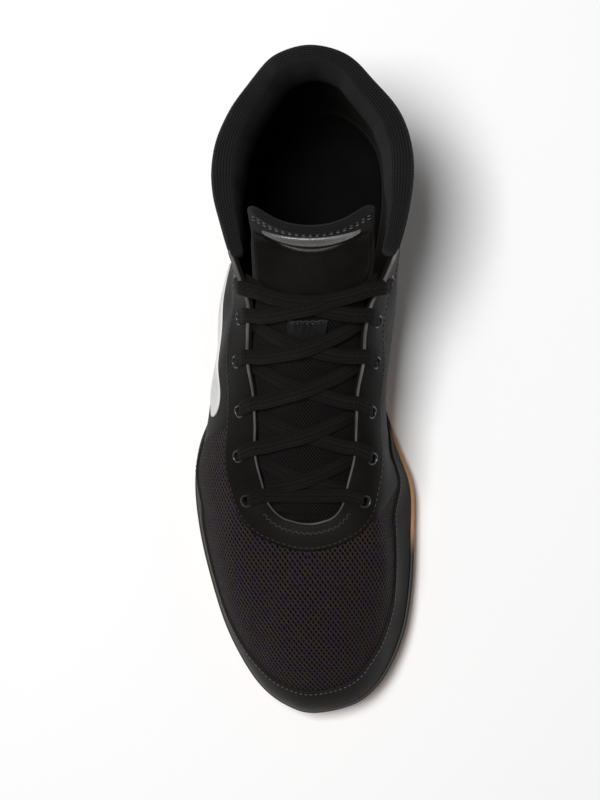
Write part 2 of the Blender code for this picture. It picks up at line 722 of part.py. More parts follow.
def make_tongue():
    """Padded tongue, thin under the throat's front and thick with a round edge at its free end."""
    station = np.concatenate([np.linspace(1.0, 5.0, 6), np.linspace(5.8, FREE_STATION, 14)])
    station = np.concatenate([station, FREE_STATION + np.array([0.3, 0.6, 0.85, 1.0])])
    place = np.linspace(-1, 1, 9)
    rounded = (0.5 + 0.5 * (1 - np.abs(place) ** 4))[None, :]
    thick = TONGUE_THICKNESS * tongue_value(station, "body") + TONGUE_PAD * tongue_value(station, "pad")
    roll = np.interp(station - FREE_STATION, (0.6, 0.85, 1.0), (0.0, 0.12, 0.42))
    depth = thick[:, None] * rounded
    outer = on_tongue(station[:, None], place[None, :], -(roll[:, None] * depth)[:, :, None])
    inner = on_tongue(station[:, None], place[None, :], -((1 - roll)[:, None] * depth)[:, :, None])
    skinned_solid("tongue", outer, inner, material("tongue_mesh", (0.014, 0.013, 0.014), 0.85))


def tongue_patch(name, station, place, thickness, finish):
    """A thin piece lying on the tongue's top face, over a grid of stations and places."""
    return skinned_solid(
        name, on_tongue(station, place, 2 * GAP + thickness), on_tongue(station, place, 2 * GAP), finish
    )


def make_tongue_label():
    """Smooth patch over most of the tongue's width, with a round lower end."""
    share = np.linspace(0, 1, 7)[:, None]
    half = LABEL_WIDTH / TONGUE_WIDTH * np.clip(share, 0.05, 1) ** 0.3
    station = LABEL_LOW + (LABEL_HIGH - LABEL_LOW) * share
    place = half * np.linspace(-1, 1, 7)
    tongue_patch("tongue_label", station, place, OVERLAY, material("label_film", (0.016, 0.016, 0.017), 0.4))


def make_tongue_tab():
    """Crescent above the label, deepest in its middle."""
    half = TAB_WIDTH / TONGUE_WIDTH
    across = np.linspace(-half, half, 13)[:, None]
    deep = TAB_END_DEPTH + (TAB_MIDDLE_DEPTH - TAB_END_DEPTH) * (1 - (across / half) ** 2)
    station = TAB_HIGH - deep * np.linspace(1, 0, 4)
    tongue_patch("tongue_tab", station, across, OVERLAY, material("tab_film", (0.22, 0.22, 0.23), 0.35))


def make_lace_garage():
    """Small elastic pocket across the middle of the tongue."""
    half = POCKET_WIDTH / TONGUE_WIDTH
    station = np.linspace(POCKET_LOW, POCKET_HIGH, 6)[:, None]
    place = np.linspace(-half, half, 7)
    elastic = material("elastic", (0.02, 0.02, 0.022), 0.6)
    tongue_patch("lace_garage", station, place, POCKET_THICKNESS, elastic)


def lace_strand(name, first, second, lift, droop=0.0):
    """A flat lace from a medial row of eyelets to a lateral row, over the throat's edges and the tongue.

    droop is how many stations the middle of a slack bar sags towards the toe.
    """
    share = np.linspace(0, 1, 15)
    station = EYELET_STATIONS[first] + (EYELET_STATIONS[second] - EYELET_STATIONS[first]) * share
    station = station - droop * (1 - (2 * share - 1) ** 2)
    medial, lateral, normal = throat_frame(station)
    half = np.linalg.norm(medial - lateral, axis=1) / 2
    across = (1 - 2 * share) * (1 + EYELET_INSET / half)
    on_side = np.clip(np.abs(across) - 1, 0, None) * half
    rise = FILM_GAP + OVERLAY + SOFT_GAP + LACE_THICKNESS / 2 + lift
    at = np.where(across > 0, station, 2 * LAST_STATION - station)
    side_share = from_top(at, np.maximum(on_side, EDGE_INSET))[:, None]
    on_skin = skin(at, side_share, rise)[:, 0]
    skin_normal = (on_skin - skin(at, side_share)[:, 0]) / rise
    inside = np.clip(np.abs(across), 0, 1) ** ARCH_POWER
    height = crown(station) * (1 - inside) + (WALL + SOFT_GAP + rise) * inside
    height += (2 * GAP + POCKET_THICKNESS + GAP + LACE_THICKNESS + lift) * (1 - inside)
    over = lateral + (medial - lateral) * ((across + 1) / 2)[:, None] + normal * height[:, None]
    use_side = np.clip((np.abs(across) - 0.86) / 0.2, 0, 1)[:, None]
    centre = over * (1 - use_side) + on_skin * use_side
    out = normal * (1 - use_side) + skin_normal * use_side
    ahead = np.gradient(centre, axis=0)
    side = np.cross(out, ahead)
    side /= np.linalg.norm(side, axis=1, keepdims=True)
    up = np.cross(ahead, side)
    up /= np.linalg.norm(up, axis=1, keepdims=True)
    half_width, half_thickness = LACE_WIDTH / 2, LACE_THICKNESS / 2
    top = ((-1.0, 0.8), (1.0, 0.8))
    outer = np.stack([centre + side * (a * half_width) + up * (b * half_thickness) for a, b in top], axis=1)
    inner = np.stack([centre + side * (a * half_width) - up * (b * half_thickness) for a, b in top], axis=1)
    return skinned_solid(name, outer, inner, None)


def make_laces():
    """The lowest bar, all crossings and the slack top bar, joined where they cross and at the eyelets."""
    laces = lace_strand("laces", 0, 0, 0.0)
    laces.data.materials.append(material("lace_weave", (0.02, 0.02, 0.02), 0.8))
    for row in range(len(EYELET_STATIONS) - 1):
        for name, first, second, lift in (("over", row, row + 1, 0.4), ("under", row + 1, row, 0.15)):
            strand = lace_strand(f"lace_{name}_{row}", first, second, lift * LACE_THICKNESS)
            combine(laces, strand, "UNION")
    last = len(EYELET_STATIONS) - 1
    combine(laces, lace_strand("lace_top", last, last, 0.3 * LACE_THICKNESS, TOP_BAR_DROOP), "UNION")


def clear_scene():
    for thing in list(bpy.data.objects):
        bpy.data.objects.remove(thing, do_unlink=True)


clear_scene()
make_outsole()
make_insole()
eyelets = eyelet_cutters("eyelet_cutters")
make_upper(eyelets)
make_toe_guard()
make_eyestay(eyelets)
make_side_band()
make_collar_cuff()
make_tongue()
make_tongue_label()
make_tongue_tab()
make_lace_garage()
make_laces()
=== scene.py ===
"""A right wrestling shoe: a black mesh and film upper on a gum rubber sole, laced over its tongue.

Metres, +Z up. The toe points to -Y and +X is the inner (medial) side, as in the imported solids.
"""

import math

import bmesh
import bpy
import numpy as np
from mathutils import Matrix


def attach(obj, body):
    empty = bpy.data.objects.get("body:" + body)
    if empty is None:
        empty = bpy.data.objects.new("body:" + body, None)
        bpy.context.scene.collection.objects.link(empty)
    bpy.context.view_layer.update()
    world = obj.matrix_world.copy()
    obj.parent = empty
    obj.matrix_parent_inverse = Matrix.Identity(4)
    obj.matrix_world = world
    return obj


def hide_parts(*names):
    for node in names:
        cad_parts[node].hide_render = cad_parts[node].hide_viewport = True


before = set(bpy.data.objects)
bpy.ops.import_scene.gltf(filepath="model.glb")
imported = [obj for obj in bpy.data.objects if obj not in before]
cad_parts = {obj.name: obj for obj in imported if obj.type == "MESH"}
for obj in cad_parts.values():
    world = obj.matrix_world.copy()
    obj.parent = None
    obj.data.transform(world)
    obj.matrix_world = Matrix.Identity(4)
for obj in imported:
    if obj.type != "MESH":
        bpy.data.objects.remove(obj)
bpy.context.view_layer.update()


# The sole
# One moulding of gum rubber with six-sided tread pads, a bevelled edge, a side wall with a sunk line and a
# lip. The upper is cemented down behind the lip, on a sunk seat.
LENGTH = 0.2902
BALL_WIDTH = 0.1046
HEEL_WIDTH = 0.0670
THROAT_WIDTH = 0.0508
COLLAR_WIDTH = 0.0836
INSTEP_HEIGHT = 0.0850
COLLAR_HEIGHT = 0.1190
TOE_SPRING = 0.0100
ARCH_RISE = 0.0030
HEEL_OVERHANG = 0.0048
LINE_X = -0.0003
PAD_DEPTH = 0.0016
SEAT_HEIGHT = 0.0055
LIP_HEIGHT = 0.0105
LIP_THICKNESS = 0.0020
TREAD_PAD_RADIUS = 0.0075
TREAD_PAD_PITCH = 0.0172

# Rows run from the toe tip to the back of the heel: places along LENGTH and across BALL_WIDTH of the sole's
# outline and the top line, their half widths in shares of the named widths, and the top line's height.
SECTION_COLUMNS = (
    "sole_back", "sole_mid", "ball", "heel",
    "top_back", "top_mid", "throat", "collar", "instep", "ankle",
)
SECTIONS = (
    (0.000, 0.042, 0.000, 0.000, 0.315, 0.050, 0.000, 0.000, 0.706, 0.000),
    (0.012, 0.068, 0.146, 0.000, 0.316, 0.049, 0.070, 0.000, 0.706, 0.000),
    (0.038, 0.070, 0.252, 0.000, 0.319, 0.048, 0.138, 0.000, 0.706, 0.000),
    (0.079, 0.065, 0.336, 0.000, 0.324, 0.046, 0.216, 0.000, 0.709, 0.000),
    (0.140, 0.052, 0.412, 0.000, 0.335, 0.043, 0.288, 0.000, 0.718, 0.000),
    (0.216, 0.032, 0.462, 0.000, 0.352, 0.039, 0.343, 0.000, 0.733, 0.000),
    (0.292, 0.010, 0.490, 0.000, 0.378, 0.038, 0.380, 0.000, 0.756, 0.000),
    (0.368, -0.004, 0.499, 0.000, 0.423, 0.040, 0.437, 0.000, 0.804, 0.000),
    (0.433, -0.026, 0.458, 0.000, 0.471, 0.046, 0.441, 0.000, 0.861, 0.000),
    (0.492, -0.024, 0.397, 0.000, 0.519, 0.048, 0.453, 0.000, 0.925, 0.000),
    (0.550, -0.019, 0.250, 0.147, 0.564, 0.053, 0.496, 0.000, 0.994, 0.000),
    (0.612, -0.005, 0.110, 0.321, 0.609, 0.061, 0.500, 0.000, 1.071, 0.000),
    (0.667, 0.019, 0.000, 0.478, 0.650, 0.079, 0.522, 0.000, 1.000, 0.101),
    (0.723, 0.043, 0.000, 0.481, 0.692, 0.094, 0.313, 0.190, 0.500, 0.508),
    (0.778, 0.060, 0.000, 0.493, 0.747, 0.098, 0.000, 0.449, 0.000, 0.895),
    (0.833, 0.072, 0.000, 0.501, 0.812, 0.094, 0.000, 0.500, 0.000, 0.866),
    (0.885, 0.078, 0.000, 0.485, 0.874, 0.096, 0.000, 0.493, 0.000, 0.849),
    (0.929, 0.083, 0.000, 0.427, 0.926, 0.101, 0.000, 0.424, 0.000, 0.868),
    (0.964, 0.086, 0.000, 0.322, 0.969, 0.097, 0.000, 0.300, 0.000, 0.906),
    (0.990, 0.088, 0.000, 0.172, 1.000, 0.097, 0.000, 0.176, 0.000, 0.974),
    (1.000, 0.089, 0.000, 0.000, 1.012, 0.099, 0.000, 0.000, 0.000, 1.000),
)
LAST_STATION = len(SECTIONS) - 1
ROUND_SHOE = 2 * LAST_STATION
TOE_Y = -(LENGTH + HEEL_OVERHANG) / 2


def section(name):
    return np.array([row[SECTION_COLUMNS.index(name)] for row in SECTIONS])


def closed_loop(back, mid, half, height):
    """Knots of a loop round the shoe: toe tip, medial side, heel back, then the lateral side to the toe."""
    medial = np.stack([LINE_X + mid + half, TOE_Y + back, height], axis=1)
    lateral = np.stack([LINE_X + mid - half, TOE_Y + back, height], axis=1)
    return np.concatenate([medial, lateral[-2:0:-1]])


SOLE_LOOP = closed_loop(
    section("sole_back") * LENGTH,
    section("sole_mid") * BALL_WIDTH,
    section("ball") * BALL_WIDTH + section("heel") * HEEL_WIDTH,
    np.zeros(len(SECTIONS)),
)
TOP_LOOP = closed_loop(
    section("top_back") * LENGTH,
    section("top_mid") * BALL_WIDTH,
    section("throat") * THROAT_WIDTH + section("collar") * COLLAR_WIDTH,
    section("instep") * INSTEP_HEIGHT + section("ankle") * COLLAR_HEIGHT,
)


def unit(vectors):
    return vectors / np.linalg.norm(vectors, axis=-1, keepdims=True)


def smooth_closed(knots, at):
    """The closed curve through the knots, each stretch a cubic whose slope at a knot joins its neighbours."""
    first = np.floor(at).astype(int)
    share = (at - first)[..., None]
    before, here, after, beyond = (knots[(first + step) % len(knots)] for step in (-1, 0, 1, 2))
    return 0.5 * (
        2 * here
        + (after - before) * share
        + (2 * before - 5 * here + 4 * after - beyond) * share**2
        + (3 * here - before - 3 * after + beyond) * share**3
    )


SPRING_START = TOE_Y + 0.27 * LENGTH


def spring(y):
    """Height of the sole's curve above the floor: flat, then rising as a square towards the toe."""
    return TOE_SPRING * np.clip((SPRING_START - y) / (SPRING_START - TOE_Y), 0, None) ** 2


def plan_normal(loop, at):
    """Unit vectors square to the loop in plan, pointing away from the shoe's middle."""
    ahead = smooth_closed(loop, at + 0.05) - smooth_closed(loop, at - 0.05)
    return unit(np.stack([ahead[..., 1], -ahead[..., 0], np.zeros(np.shape(at))], axis=-1))


def sole_edge(at, inset, height):
    """The sole's outline moved inwards by inset, at a height above the sole's own curve."""
    points = smooth_closed(SOLE_LOOP, at) - np.asarray(inset)[..., None] * plan_normal(SOLE_LOOP, at)
    points[..., 2] = height + spring(points[..., 1])
    return points


def arch(points):
    """Lift of the sole's underside at the waist: a smooth hump along the shoe, most on the medial side."""
    centre, reach = TOE_Y + 0.57 * LENGTH, 0.15 * LENGTH
    hump = np.clip(1 - ((points[..., 1] - centre) / reach) ** 2, 0, 1) ** 2
    return ARCH_RISE * hump * np.clip(0.5 + points[..., 0] / HEEL_WIDTH, 0, 1)


def quads(rows, columns, rows_meet, columns_meet):
    """Row and column of each quad's corners, counted on past the last where the grid meets itself."""
    row = np.arange(rows if rows_meet else rows - 1)[:, None, None] + np.array([0, 0, 1, 1])
    column = np.arange(columns if columns_meet else columns - 1)[None, :, None] + np.array([0, 1, 1, 0])
    row, column = np.broadcast_arrays(row, column)
    return row.reshape(-1, 4), column.reshape(-1, 4)


def surface(name, grids, finishes, crease_angle=50, weld=2e-6):
    """One object from grids of points (any number of grids in a batch, then rows, columns and xyz).

    A grid may carry place, the cloth's own coordinates in metres for each row and column, and slots,
    the material of each quad. Corners that lie together are joined, and the faces turned outwards.
    """
    all_points, all_faces, all_places, all_slots, count = [], [], [], [], 0
    for grid in grids:
        rows, columns = grid["points"].shape[-3:-1]
        points = grid["points"].reshape(-1, rows * columns, 3)
        row, column = quads(rows, columns, grid.get("rows_meet", False), grid.get("columns_meet", False))
        corner = row % rows * columns + column % columns
        first = count + np.arange(len(points))[:, None, None] * rows * columns
        all_faces.append((corner + first).reshape(-1, 4))
        place = grid.get("place", np.zeros((rows + 1, columns + 1, 2)))
        all_places.append(np.broadcast_to(place[row, column], (len(points), *corner.shape, 2)).reshape(-1, 2))
        slots = np.asarray(grid.get("slots", 0))
        slots = slots[row[:, 0], column[:, 0]] if slots.ndim else np.full(len(corner), slots)
        all_slots.append(np.tile(slots, len(points)))
        all_points.append(points.reshape(-1, 3))
        count += points.shape[0] * rows * columns
    points, faces = np.concatenate(all_points), np.concatenate(all_faces)
    mesh = bpy.data.meshes.new(name)
    mesh.vertices.add(len(points))
    mesh.vertices.foreach_set("co", points.astype(np.float32).ravel())
    mesh.loops.add(faces.size)
    mesh.loops.foreach_set("vertex_index", faces.astype(np.int32).ravel())
    mesh.polygons.add(len(faces))
    mesh.polygons.foreach_set("loop_start", np.arange(0, faces.size, 4, dtype=np.int32))
    mesh.polygons.foreach_set("material_index", np.concatenate(all_slots).astype(np.int32))
    mesh.update(calc_edges=True)
    own = mesh.uv_layers.new(name="place")
    own.uv.foreach_set("vector", np.concatenate(all_places).astype(np.float32).ravel())
    made = bmesh.new()
    made.from_mesh(mesh)
    bmesh.ops.remove_doubles(made, verts=made.verts, dist=weld)
    bmesh.ops.dissolve_degenerate(made, edges=made.edges, dist=weld)
    bmesh.ops.recalc_face_normals(made, faces=made.faces)
    made.to_mesh(mesh)
    made.free()
    mesh.shade_smooth()
    mesh.set_sharp_from_angle(angle=math.radians(crease_angle))
    for finish in finishes:
        mesh.materials.append(finish)
    piece = bpy.data.objects.new(name, mesh)
    bpy.context.scene.collection.objects.link(piece)
    return piece


def seat_on(piece, slot, *nodes):
    """The piece rides on the shoe's one body and stands for its solids. slot is not used."""
    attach(piece, "root")
    if nodes:
        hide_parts(*nodes)


def node(tree, kind, inputs=None, **settings):
    """A shader node with its settings, and each input linked from a socket or set to a value."""
    made = tree.nodes.new("ShaderNode" + kind)
    for key, value in settings.items():
        setattr(made, key, value)
    for key, value in (inputs or {}).items():
        if isinstance(value, bpy.types.NodeSocket):
            tree.links.new(value, made.inputs[key])
        else:
            made.inputs[key].default_value = value
    return made


def sums(tree, operation, *values):
    """The result of one Math node on sockets or numbers."""
    return node(tree, "Math", dict(enumerate(values)), operation=operation).outputs[0]


def times(tree, first, second):
    return sums(tree, "MULTIPLY", first, second)


def plus(tree, first, second):
    return sums(tree, "ADD", first, second)


def stepped(tree, value, low, high, start=0.0, end=1.0):
    """The value brought from low..high to start..end with smooth ends, and held outside."""
    made = node(
        tree, "MapRange",
        {"Value": value, "From Min": low, "From Max": high, "To Min": start, "To Max": end},
        interpolation_type="SMOOTHSTEP",
    )
    return made.outputs["Result"]


def blended(tree, share, first, second):
    """A colour between two colours, by share."""
    first, second = ((*value, 1.0) if isinstance(value, tuple) else value for value in (first, second))
    return node(tree, "Mix", {0: share, 6: first, 7: second}, data_type="RGBA").outputs[2]


def cloudy(tree, vector, scale, detail=3.0, roughness=0.55):
    """Soft noise, about 0 to 1, with scale in waves a metre."""
    values = {"Vector": vector, "Scale": scale, "Detail": detail, "Roughness": roughness}
    return node(tree, "TexNoise", values).outputs["Fac"]


def effect(name, inputs, outputs):
    """A shader node group with named float or vector inputs and float outputs, and its two end nodes."""
    group = bpy.data.node_groups.new(name, "ShaderNodeTree")
    for socket, value in inputs.items():
        kind = "NodeSocketVector" if value is None else "NodeSocketFloat"
        made = group.interface.new_socket(socket, in_out="INPUT", socket_type=kind)
        if value is not None:
            made.default_value = value
    for socket in outputs:
        group.interface.new_socket(socket, in_out="OUTPUT", socket_type="NodeSocketFloat")
    return group, group.nodes.new("NodeGroupInput").outputs, group.nodes.new("NodeGroupOutput")


def placed(tree, group, **values):
    """A node that puts the group into a material with that material's own values."""
    made = tree.nodes.new("ShaderNodeGroup")
    made.node_tree = group
    for key, value in values.items():
        if isinstance(value, bpy.types.NodeSocket):
            tree.links.new(value, made.inputs[key.title()])
        else:
            made.inputs[key.title()].default_value = value
    return made.outputs


def new_finish(name, **sockets):
    """A material, its tree and its shader, with the shader's own sockets set."""
    made = bpy.data.materials.new(name)
    made.use_nodes = True
    shader = made.node_tree.nodes["Principled BSDF"]
    for key, value in sockets.items():
        socket = shader.inputs[key.replace("_", " ")]
        socket.default_value = (*value, 1.0) if isinstance(value, tuple) else value
    return made, made.node_tree, shader


def relief(tree, shader, height, strength, distance):
    """A bump from a height map feeds the shader's normal. distance is its depth in metres."""
    bump = node(tree, "Bump", {"Height": height, "Strength": strength, "Distance": distance})
    tree.links.new(bump.outputs["Normal"], shader.inputs["Normal"])


def feed(tree, target, **levels):
    """Links levels and colours into a shader, or into a group's outputs, by the names of their sockets."""
    for key, level in levels.items():
        tree.links.new(level, target.inputs[key.replace("_", " ")])


def object_place(tree):
    return tree.nodes.new("ShaderNodeTexCoord").outputs["Object"]


def own_place(tree):
    return node(tree, "UVMap", uv_map="place").outputs["UV"]


# Grain: fine pebbling and a slow change of gloss, for moulded rubber and pressed film
grain, ins, outs = effect("fine_grain", {"Vector": None, "Scale": 1500.0}, ("Height", "Gloss", "Cloud"))
pebbles = node(grain, "TexVoronoi", {"Vector": ins["Vector"], "Scale": ins["Scale"]}, feature="SMOOTH_F1")
slow = cloudy(grain, ins["Vector"], 38.0, 4.0)
speck = cloudy(grain, ins["Vector"], 900.0, 2.0)
feed(
    grain, outs,
    Height=plus(grain, pebbles.outputs["Distance"], times(grain, speck, 0.5)),
    Gloss=plus(grain, times(grain, speck, 0.35), slow),
    Cloud=stepped(grain, slow, 0.35, 0.68),
)

gum, tree, shader = new_finish("gum_rubber", Roughness=0.55, Subsurface_Weight=0.08, Subsurface_Scale=0.003)
shader.inputs["Subsurface Radius"].default_value = (1.0, 0.45, 0.2)
where = object_place(tree)
fine = placed(tree, grain, vector=where, scale=1400.0)
spot = node(tree, "SeparateXYZ", {"Vector": where}).outputs
# Darker towards the floor: below about 3 mm the rubber is mixed up to 0.35 of the way to dark brown
floor_darkening = plus(tree, spot["Z"], times(tree, fine["Cloud"], 0.0015))
floor_darkening = stepped(tree, floor_darkening, 0.0030, 0.0008, 0.0, 0.35)
body = blended(tree, fine["Cloud"], (0.36, 0.170, 0.062), (0.42, 0.205, 0.080))
body = blended(tree, floor_darkening, body, (0.16, 0.075, 0.035))
# The lip is black where the upper is cemented in, but for a bare stretch at the ball's medial side
raised = sums(tree, "MAXIMUM", sums(tree, "SUBTRACT", SPRING_START, spot["Y"]), 0.0)
raised = times(tree, sums(tree, "POWER", raised, 2.0), TOE_SPRING / (SPRING_START - TOE_Y) ** 2)
cemented = stepped(tree, sums(tree, "SUBTRACT", spot["Z"], raised), 0.0098, 0.0101)
bare = stepped(tree, spot["X"], 0.040, 0.042)
for low, high in ((0.008, 0.000), (-0.075, -0.060)):
    bare = times(tree, bare, stepped(tree, spot["Y"], low, high))
cemented = times(tree, cemented, sums(tree, "SUBTRACT", 1.0, bare))
feed(tree, shader, Base_Color=blended(tree, cemented, body, (0.0085, 0.0070, 0.0065)))

# The seat inside the lip is black with cement
cement, tree, shader = new_finish("seat_cement", Roughness=0.68, Specular_IOR_Level=0.1)
patches = cloudy(tree, object_place(tree), 240.0, 3.0)
feed(tree, shader, Base_Color=blended(tree, patches, (0.002, 0.002, 0.002), (0.006, 0.0055, 0.005)))

SOLE_STEPS = 480
# Inset and height, from the underside's edge, up the side wall and over the lip, down to the seat
SOLE_SIDE = (
    (0.0040, 0.0016), (0.0029, 0.0018), (0.0018, 0.0023), (0.0010, 0.0031), (0.0005, 0.0041),
    (0.0001, 0.0053), (0.0000, 0.0058), (0.0002, 0.0060), (0.0007, 0.0063), (0.0008, 0.0067),
    (0.0007, 0.0071), (0.0002, 0.0074), (0.0000, 0.0077), (0.0000, 0.0088), (0.0000, 0.0099),
    (0.0002, 0.0103), (0.0006, 0.0105), (0.0012, 0.0106), (0.0017, 0.0105), (0.0020, 0.0102),
    (0.0020, 0.0080), (0.0020, 0.0055),
)
ring = np.linspace(0, ROUND_SHOE, SOLE_STEPS, endpoint=False)
inset, height = np.array(SOLE_SIDE).T
side_wall = sole_edge(ring[:, None] + np.zeros(len(inset)), inset + 0 * ring[:, None], height)
side_wall[:, 0, 2] += arch(side_wall[:, 0])


def across_ring(points, steps=25):
    """A face filling a ring: each row runs from a lateral point straight to the medial one facing it."""
    half = len(points) // 2
    medial, lateral = points[: half + 1], np.roll(points[::-1], 1, axis=0)[: half + 1]
    share = np.linspace(0, 1, steps)[None, :, None]
    return lateral[:, None] * (1 - share) + medial[:, None] * share


under = across_ring(side_wall[:, 0])
under[:, 1:-1, 2] = PAD_DEPTH + spring(under[:, 1:-1, 1]) + arch(under[:, 1:-1])

# Tread pads: share of the pad's radius and height above the floor, from its root to the dimple in its middle
PAD_PROFILE = (
    (0.0, 0.0024), (1.0, 0.0024), (1.0, 0.0004), (0.95, 0.0), (0.66, 0.0), (0.61, 0.0007), (0.50, 0.0007),
    (0.45, 0.0), (0.12, 0.0), (0.0, 0.0),
)
turn = math.tau * np.arange(6) / 6
row_pitch = TREAD_PAD_PITCH * math.sqrt(3) / 2
low, high = TOE_Y + 0.05 * LENGTH, TOE_Y + 0.96 * LENGTH
row = np.arange(int((high - low) / row_pitch) + 1)[:, None]
place = np.arange(-5, 6)[None, :]
pad_x = place * TREAD_PAD_PITCH + 0.5 * (row % 2) * TREAD_PAD_PITCH
pad_y = low + row * row_pitch + 0 * pad_x
medial_edge = sole_edge(np.linspace(0, LAST_STATION, 200), 0.0, 0.0)
lateral_edge = sole_edge(np.linspace(ROUND_SHOE, LAST_STATION, 200), 0.0, 0.0)
ends = pad_y + np.array([-1, 1])[:, None, None] * TREAD_PAD_RADIUS
clear = TREAD_PAD_RADIUS + 2 * LIP_THICKNESS
right = np.interp(ends, medial_edge[:, 1], medial_edge[:, 0]).min(axis=0) - clear
left = np.interp(ends, lateral_edge[:, 1], lateral_edge[:, 0]).max(axis=0) + clear
waist = (pad_y > TOE_Y + 0.44 * LENGTH) & (pad_y < TOE_Y + 0.70 * LENGTH)
kept = (pad_x >= left) & (pad_x <= right) & ~waist
radius, depth = np.array(PAD_PROFILE).T
pads = np.zeros((kept.sum(), len(radius), 6, 3))
pads[..., 0] = pad_x[kept][:, None, None] + TREAD_PAD_RADIUS * radius[:, None] * np.sin(turn)
pads[..., 1] = pad_y[kept][:, None, None] + TREAD_PAD_RADIUS * radius[:, None] * np.cos(turn)
pads[..., 2] = depth[:, None] + spring(pads[..., 1])
outsole = surface(
    "sole",
    [
        {"points": side_wall, "rows_meet": True},
        {"points": under},
        {"points": across_ring(side_wall[:, -1]), "slots": 1},
        {"points": pads, "columns_meet": True},
    ],
    [gum, cement], crease_angle=35,
)
seat_on(outsole, "gum_rubber", "outsole")


# The insole
# A thin foam sock faced with short-pile cloth, cut to the inside of the upper and laid on the sole's seat.
GAP = 0.0003
WALL = 0.0020
# Inset and height round the sock's edge
INSOLE_EDGE = ((0.0006, 0.0), (0.0003, 0.0008), (0.0004, 0.0028), (0.0009, 0.0036), (0.0018, 0.0040))
foam, tree, shader = new_finish("sock_lining", Roughness=0.95, Specular_IOR_Level=0.05, Sheen_Weight=0.03)
where = object_place(tree)
worn = cloudy(tree, where, 60.0)
feed(tree, shader, Base_Color=blended(tree, worn, (0.0016, 0.0016, 0.0018), (0.0040, 0.0040, 0.0044)))
relief(tree, shader, cloudy(tree, where, 1600.0, 4.0, 0.7), 0.6, 0.0003)
inset, height = np.array(INSOLE_EDGE).T
inset = inset + LIP_THICKNESS + GAP + WALL + GAP
around = ring[::2, None]
sock = sole_edge(around + np.zeros(len(inset)), inset + 0 * around, SEAT_HEIGHT + GAP + height)
below, above = across_ring(sock[:, 0]), across_ring(sock[:, -1])
grids = [{"points": sock, "rows_meet": True}, {"points": below}, {"points": above}]
insole = surface("insole_sock", grids, [foam])
seat_on(insole, "sock_lining", "insole")


# The upper
# A shell of open mesh cloth backed with a brushed lining, lasted over the last and cemented inside the lip.
# It is ribs: each rib stands straight up behind the lip, then is one cubic curve to the top line.
STAND = LIP_HEIGHT - SEAT_HEIGHT
SOFT_GAP = 0.0010
# Station, rise, lean on the medial side and on the lateral side, out, drop
RIBS = (
    (0, 0.46, -0.020, -0.020, 0.480, 0.03),
    (2, 0.45, -0.046, -0.028, 0.440, 0.03),
    (4, 0.44, -0.100, -0.024, 0.330, 0.04),
    (6, 0.44, -0.118, -0.012, 0.200, 0.06),
    (8, 0.44, -0.040, 0.010, 0.140, 0.12),
    (10, 0.40, 0.150, 0.110, 0.115, 0.18),
    (12, 0.38, 0.200, 0.190, 0.080, 0.22),
    (14, 0.36, 0.130, 0.100, -0.020, 0.30),
    (16, 0.32, 0.065, 0.065, -0.075, 0.33),
    (18, 0.30, 0.090, 0.090, -0.090, 0.35),
    (20, 0.28, 0.110, 0.110, -0.095, 0.36),
)
# The same rows as a ring of knots round the shoe, medial side first: rise, lean, out and drop
rise, lean_medial, lean_lateral, out, drop = np.array(RIBS).T[1:]
RIB_LOOP = np.concatenate([
    np.stack([rise, lean_medial, out, drop], axis=1),
    np.stack([rise, lean_lateral, out, drop], axis=1)[-2:0:-1],
])
RIB_STEP = ROUND_SHOE / len(RIB_LOOP)


def rib_handles(at):
    """The four handles of each rib's curve, from the top of the sole's lip to the top line."""
    rise, lean, out, drop = smooth_closed(RIB_LOOP, at / RIB_STEP).T[..., None]
    foot = sole_edge(at, LIP_THICKNESS + GAP + 0 * at, LIP_HEIGHT + GAP)
    top = smooth_closed(TOP_LOOP, at)
    up = (top - foot)[:, 2:] * np.array([0.0, 0.0, 1.0])
    low = foot + rise * up + lean * BALL_WIDTH * plan_normal(SOLE_LOOP, at)
    high = top - drop * up + out * BALL_WIDTH * plan_normal(TOP_LOOP, at)
    return foot, low, high, top


def way_along(points, axis=0):
    """Length run along one axis of a grid of points, 0 at its start."""
    steps = np.linalg.norm(np.diff(points, axis=axis), axis=-1)
    return np.concatenate([0 * steps.take([0], axis), steps.cumsum(axis=axis)], axis=axis)


def rib_points(at, share):
    """Points at even shares of each rib's length, 0 at the sole's seat and 1 at the top line.

    The cubic is traced finely, its length summed, and the trace read backwards from the length reached.
    """
    at = np.asarray(at, dtype=float) % ROUND_SHOE
    fine = np.linspace(0, 1, 33)
    foot, low, high, top = (handle[:, None, :] for handle in rib_handles(at))

    def curve(t):
        t = t[:, :, None]
        return (1 - t) ** 3 * foot + 3 * (1 - t) ** 2 * t * low + 3 * (1 - t) * t**2 * high + t**3 * top

    trace = curve(np.broadcast_to(fine, (len(at), len(fine))))
    along = way_along(trace, axis=1)
    length = STAND + along[:, -1]
    reached = share * length[:, None] - STAND
    # Each rib's lengths are set a metre past the last one's, so that one reading serves them all
    apart = np.arange(len(at))[:, None]
    reading = np.clip(reached, 0, along[:, -1:]) + apart
    t = np.interp(reading, (along + apart).ravel(), np.tile(fine, len(at)))
    points = curve(t)
    points[:, :, 2] += np.minimum(reached, 0)
    return points, length


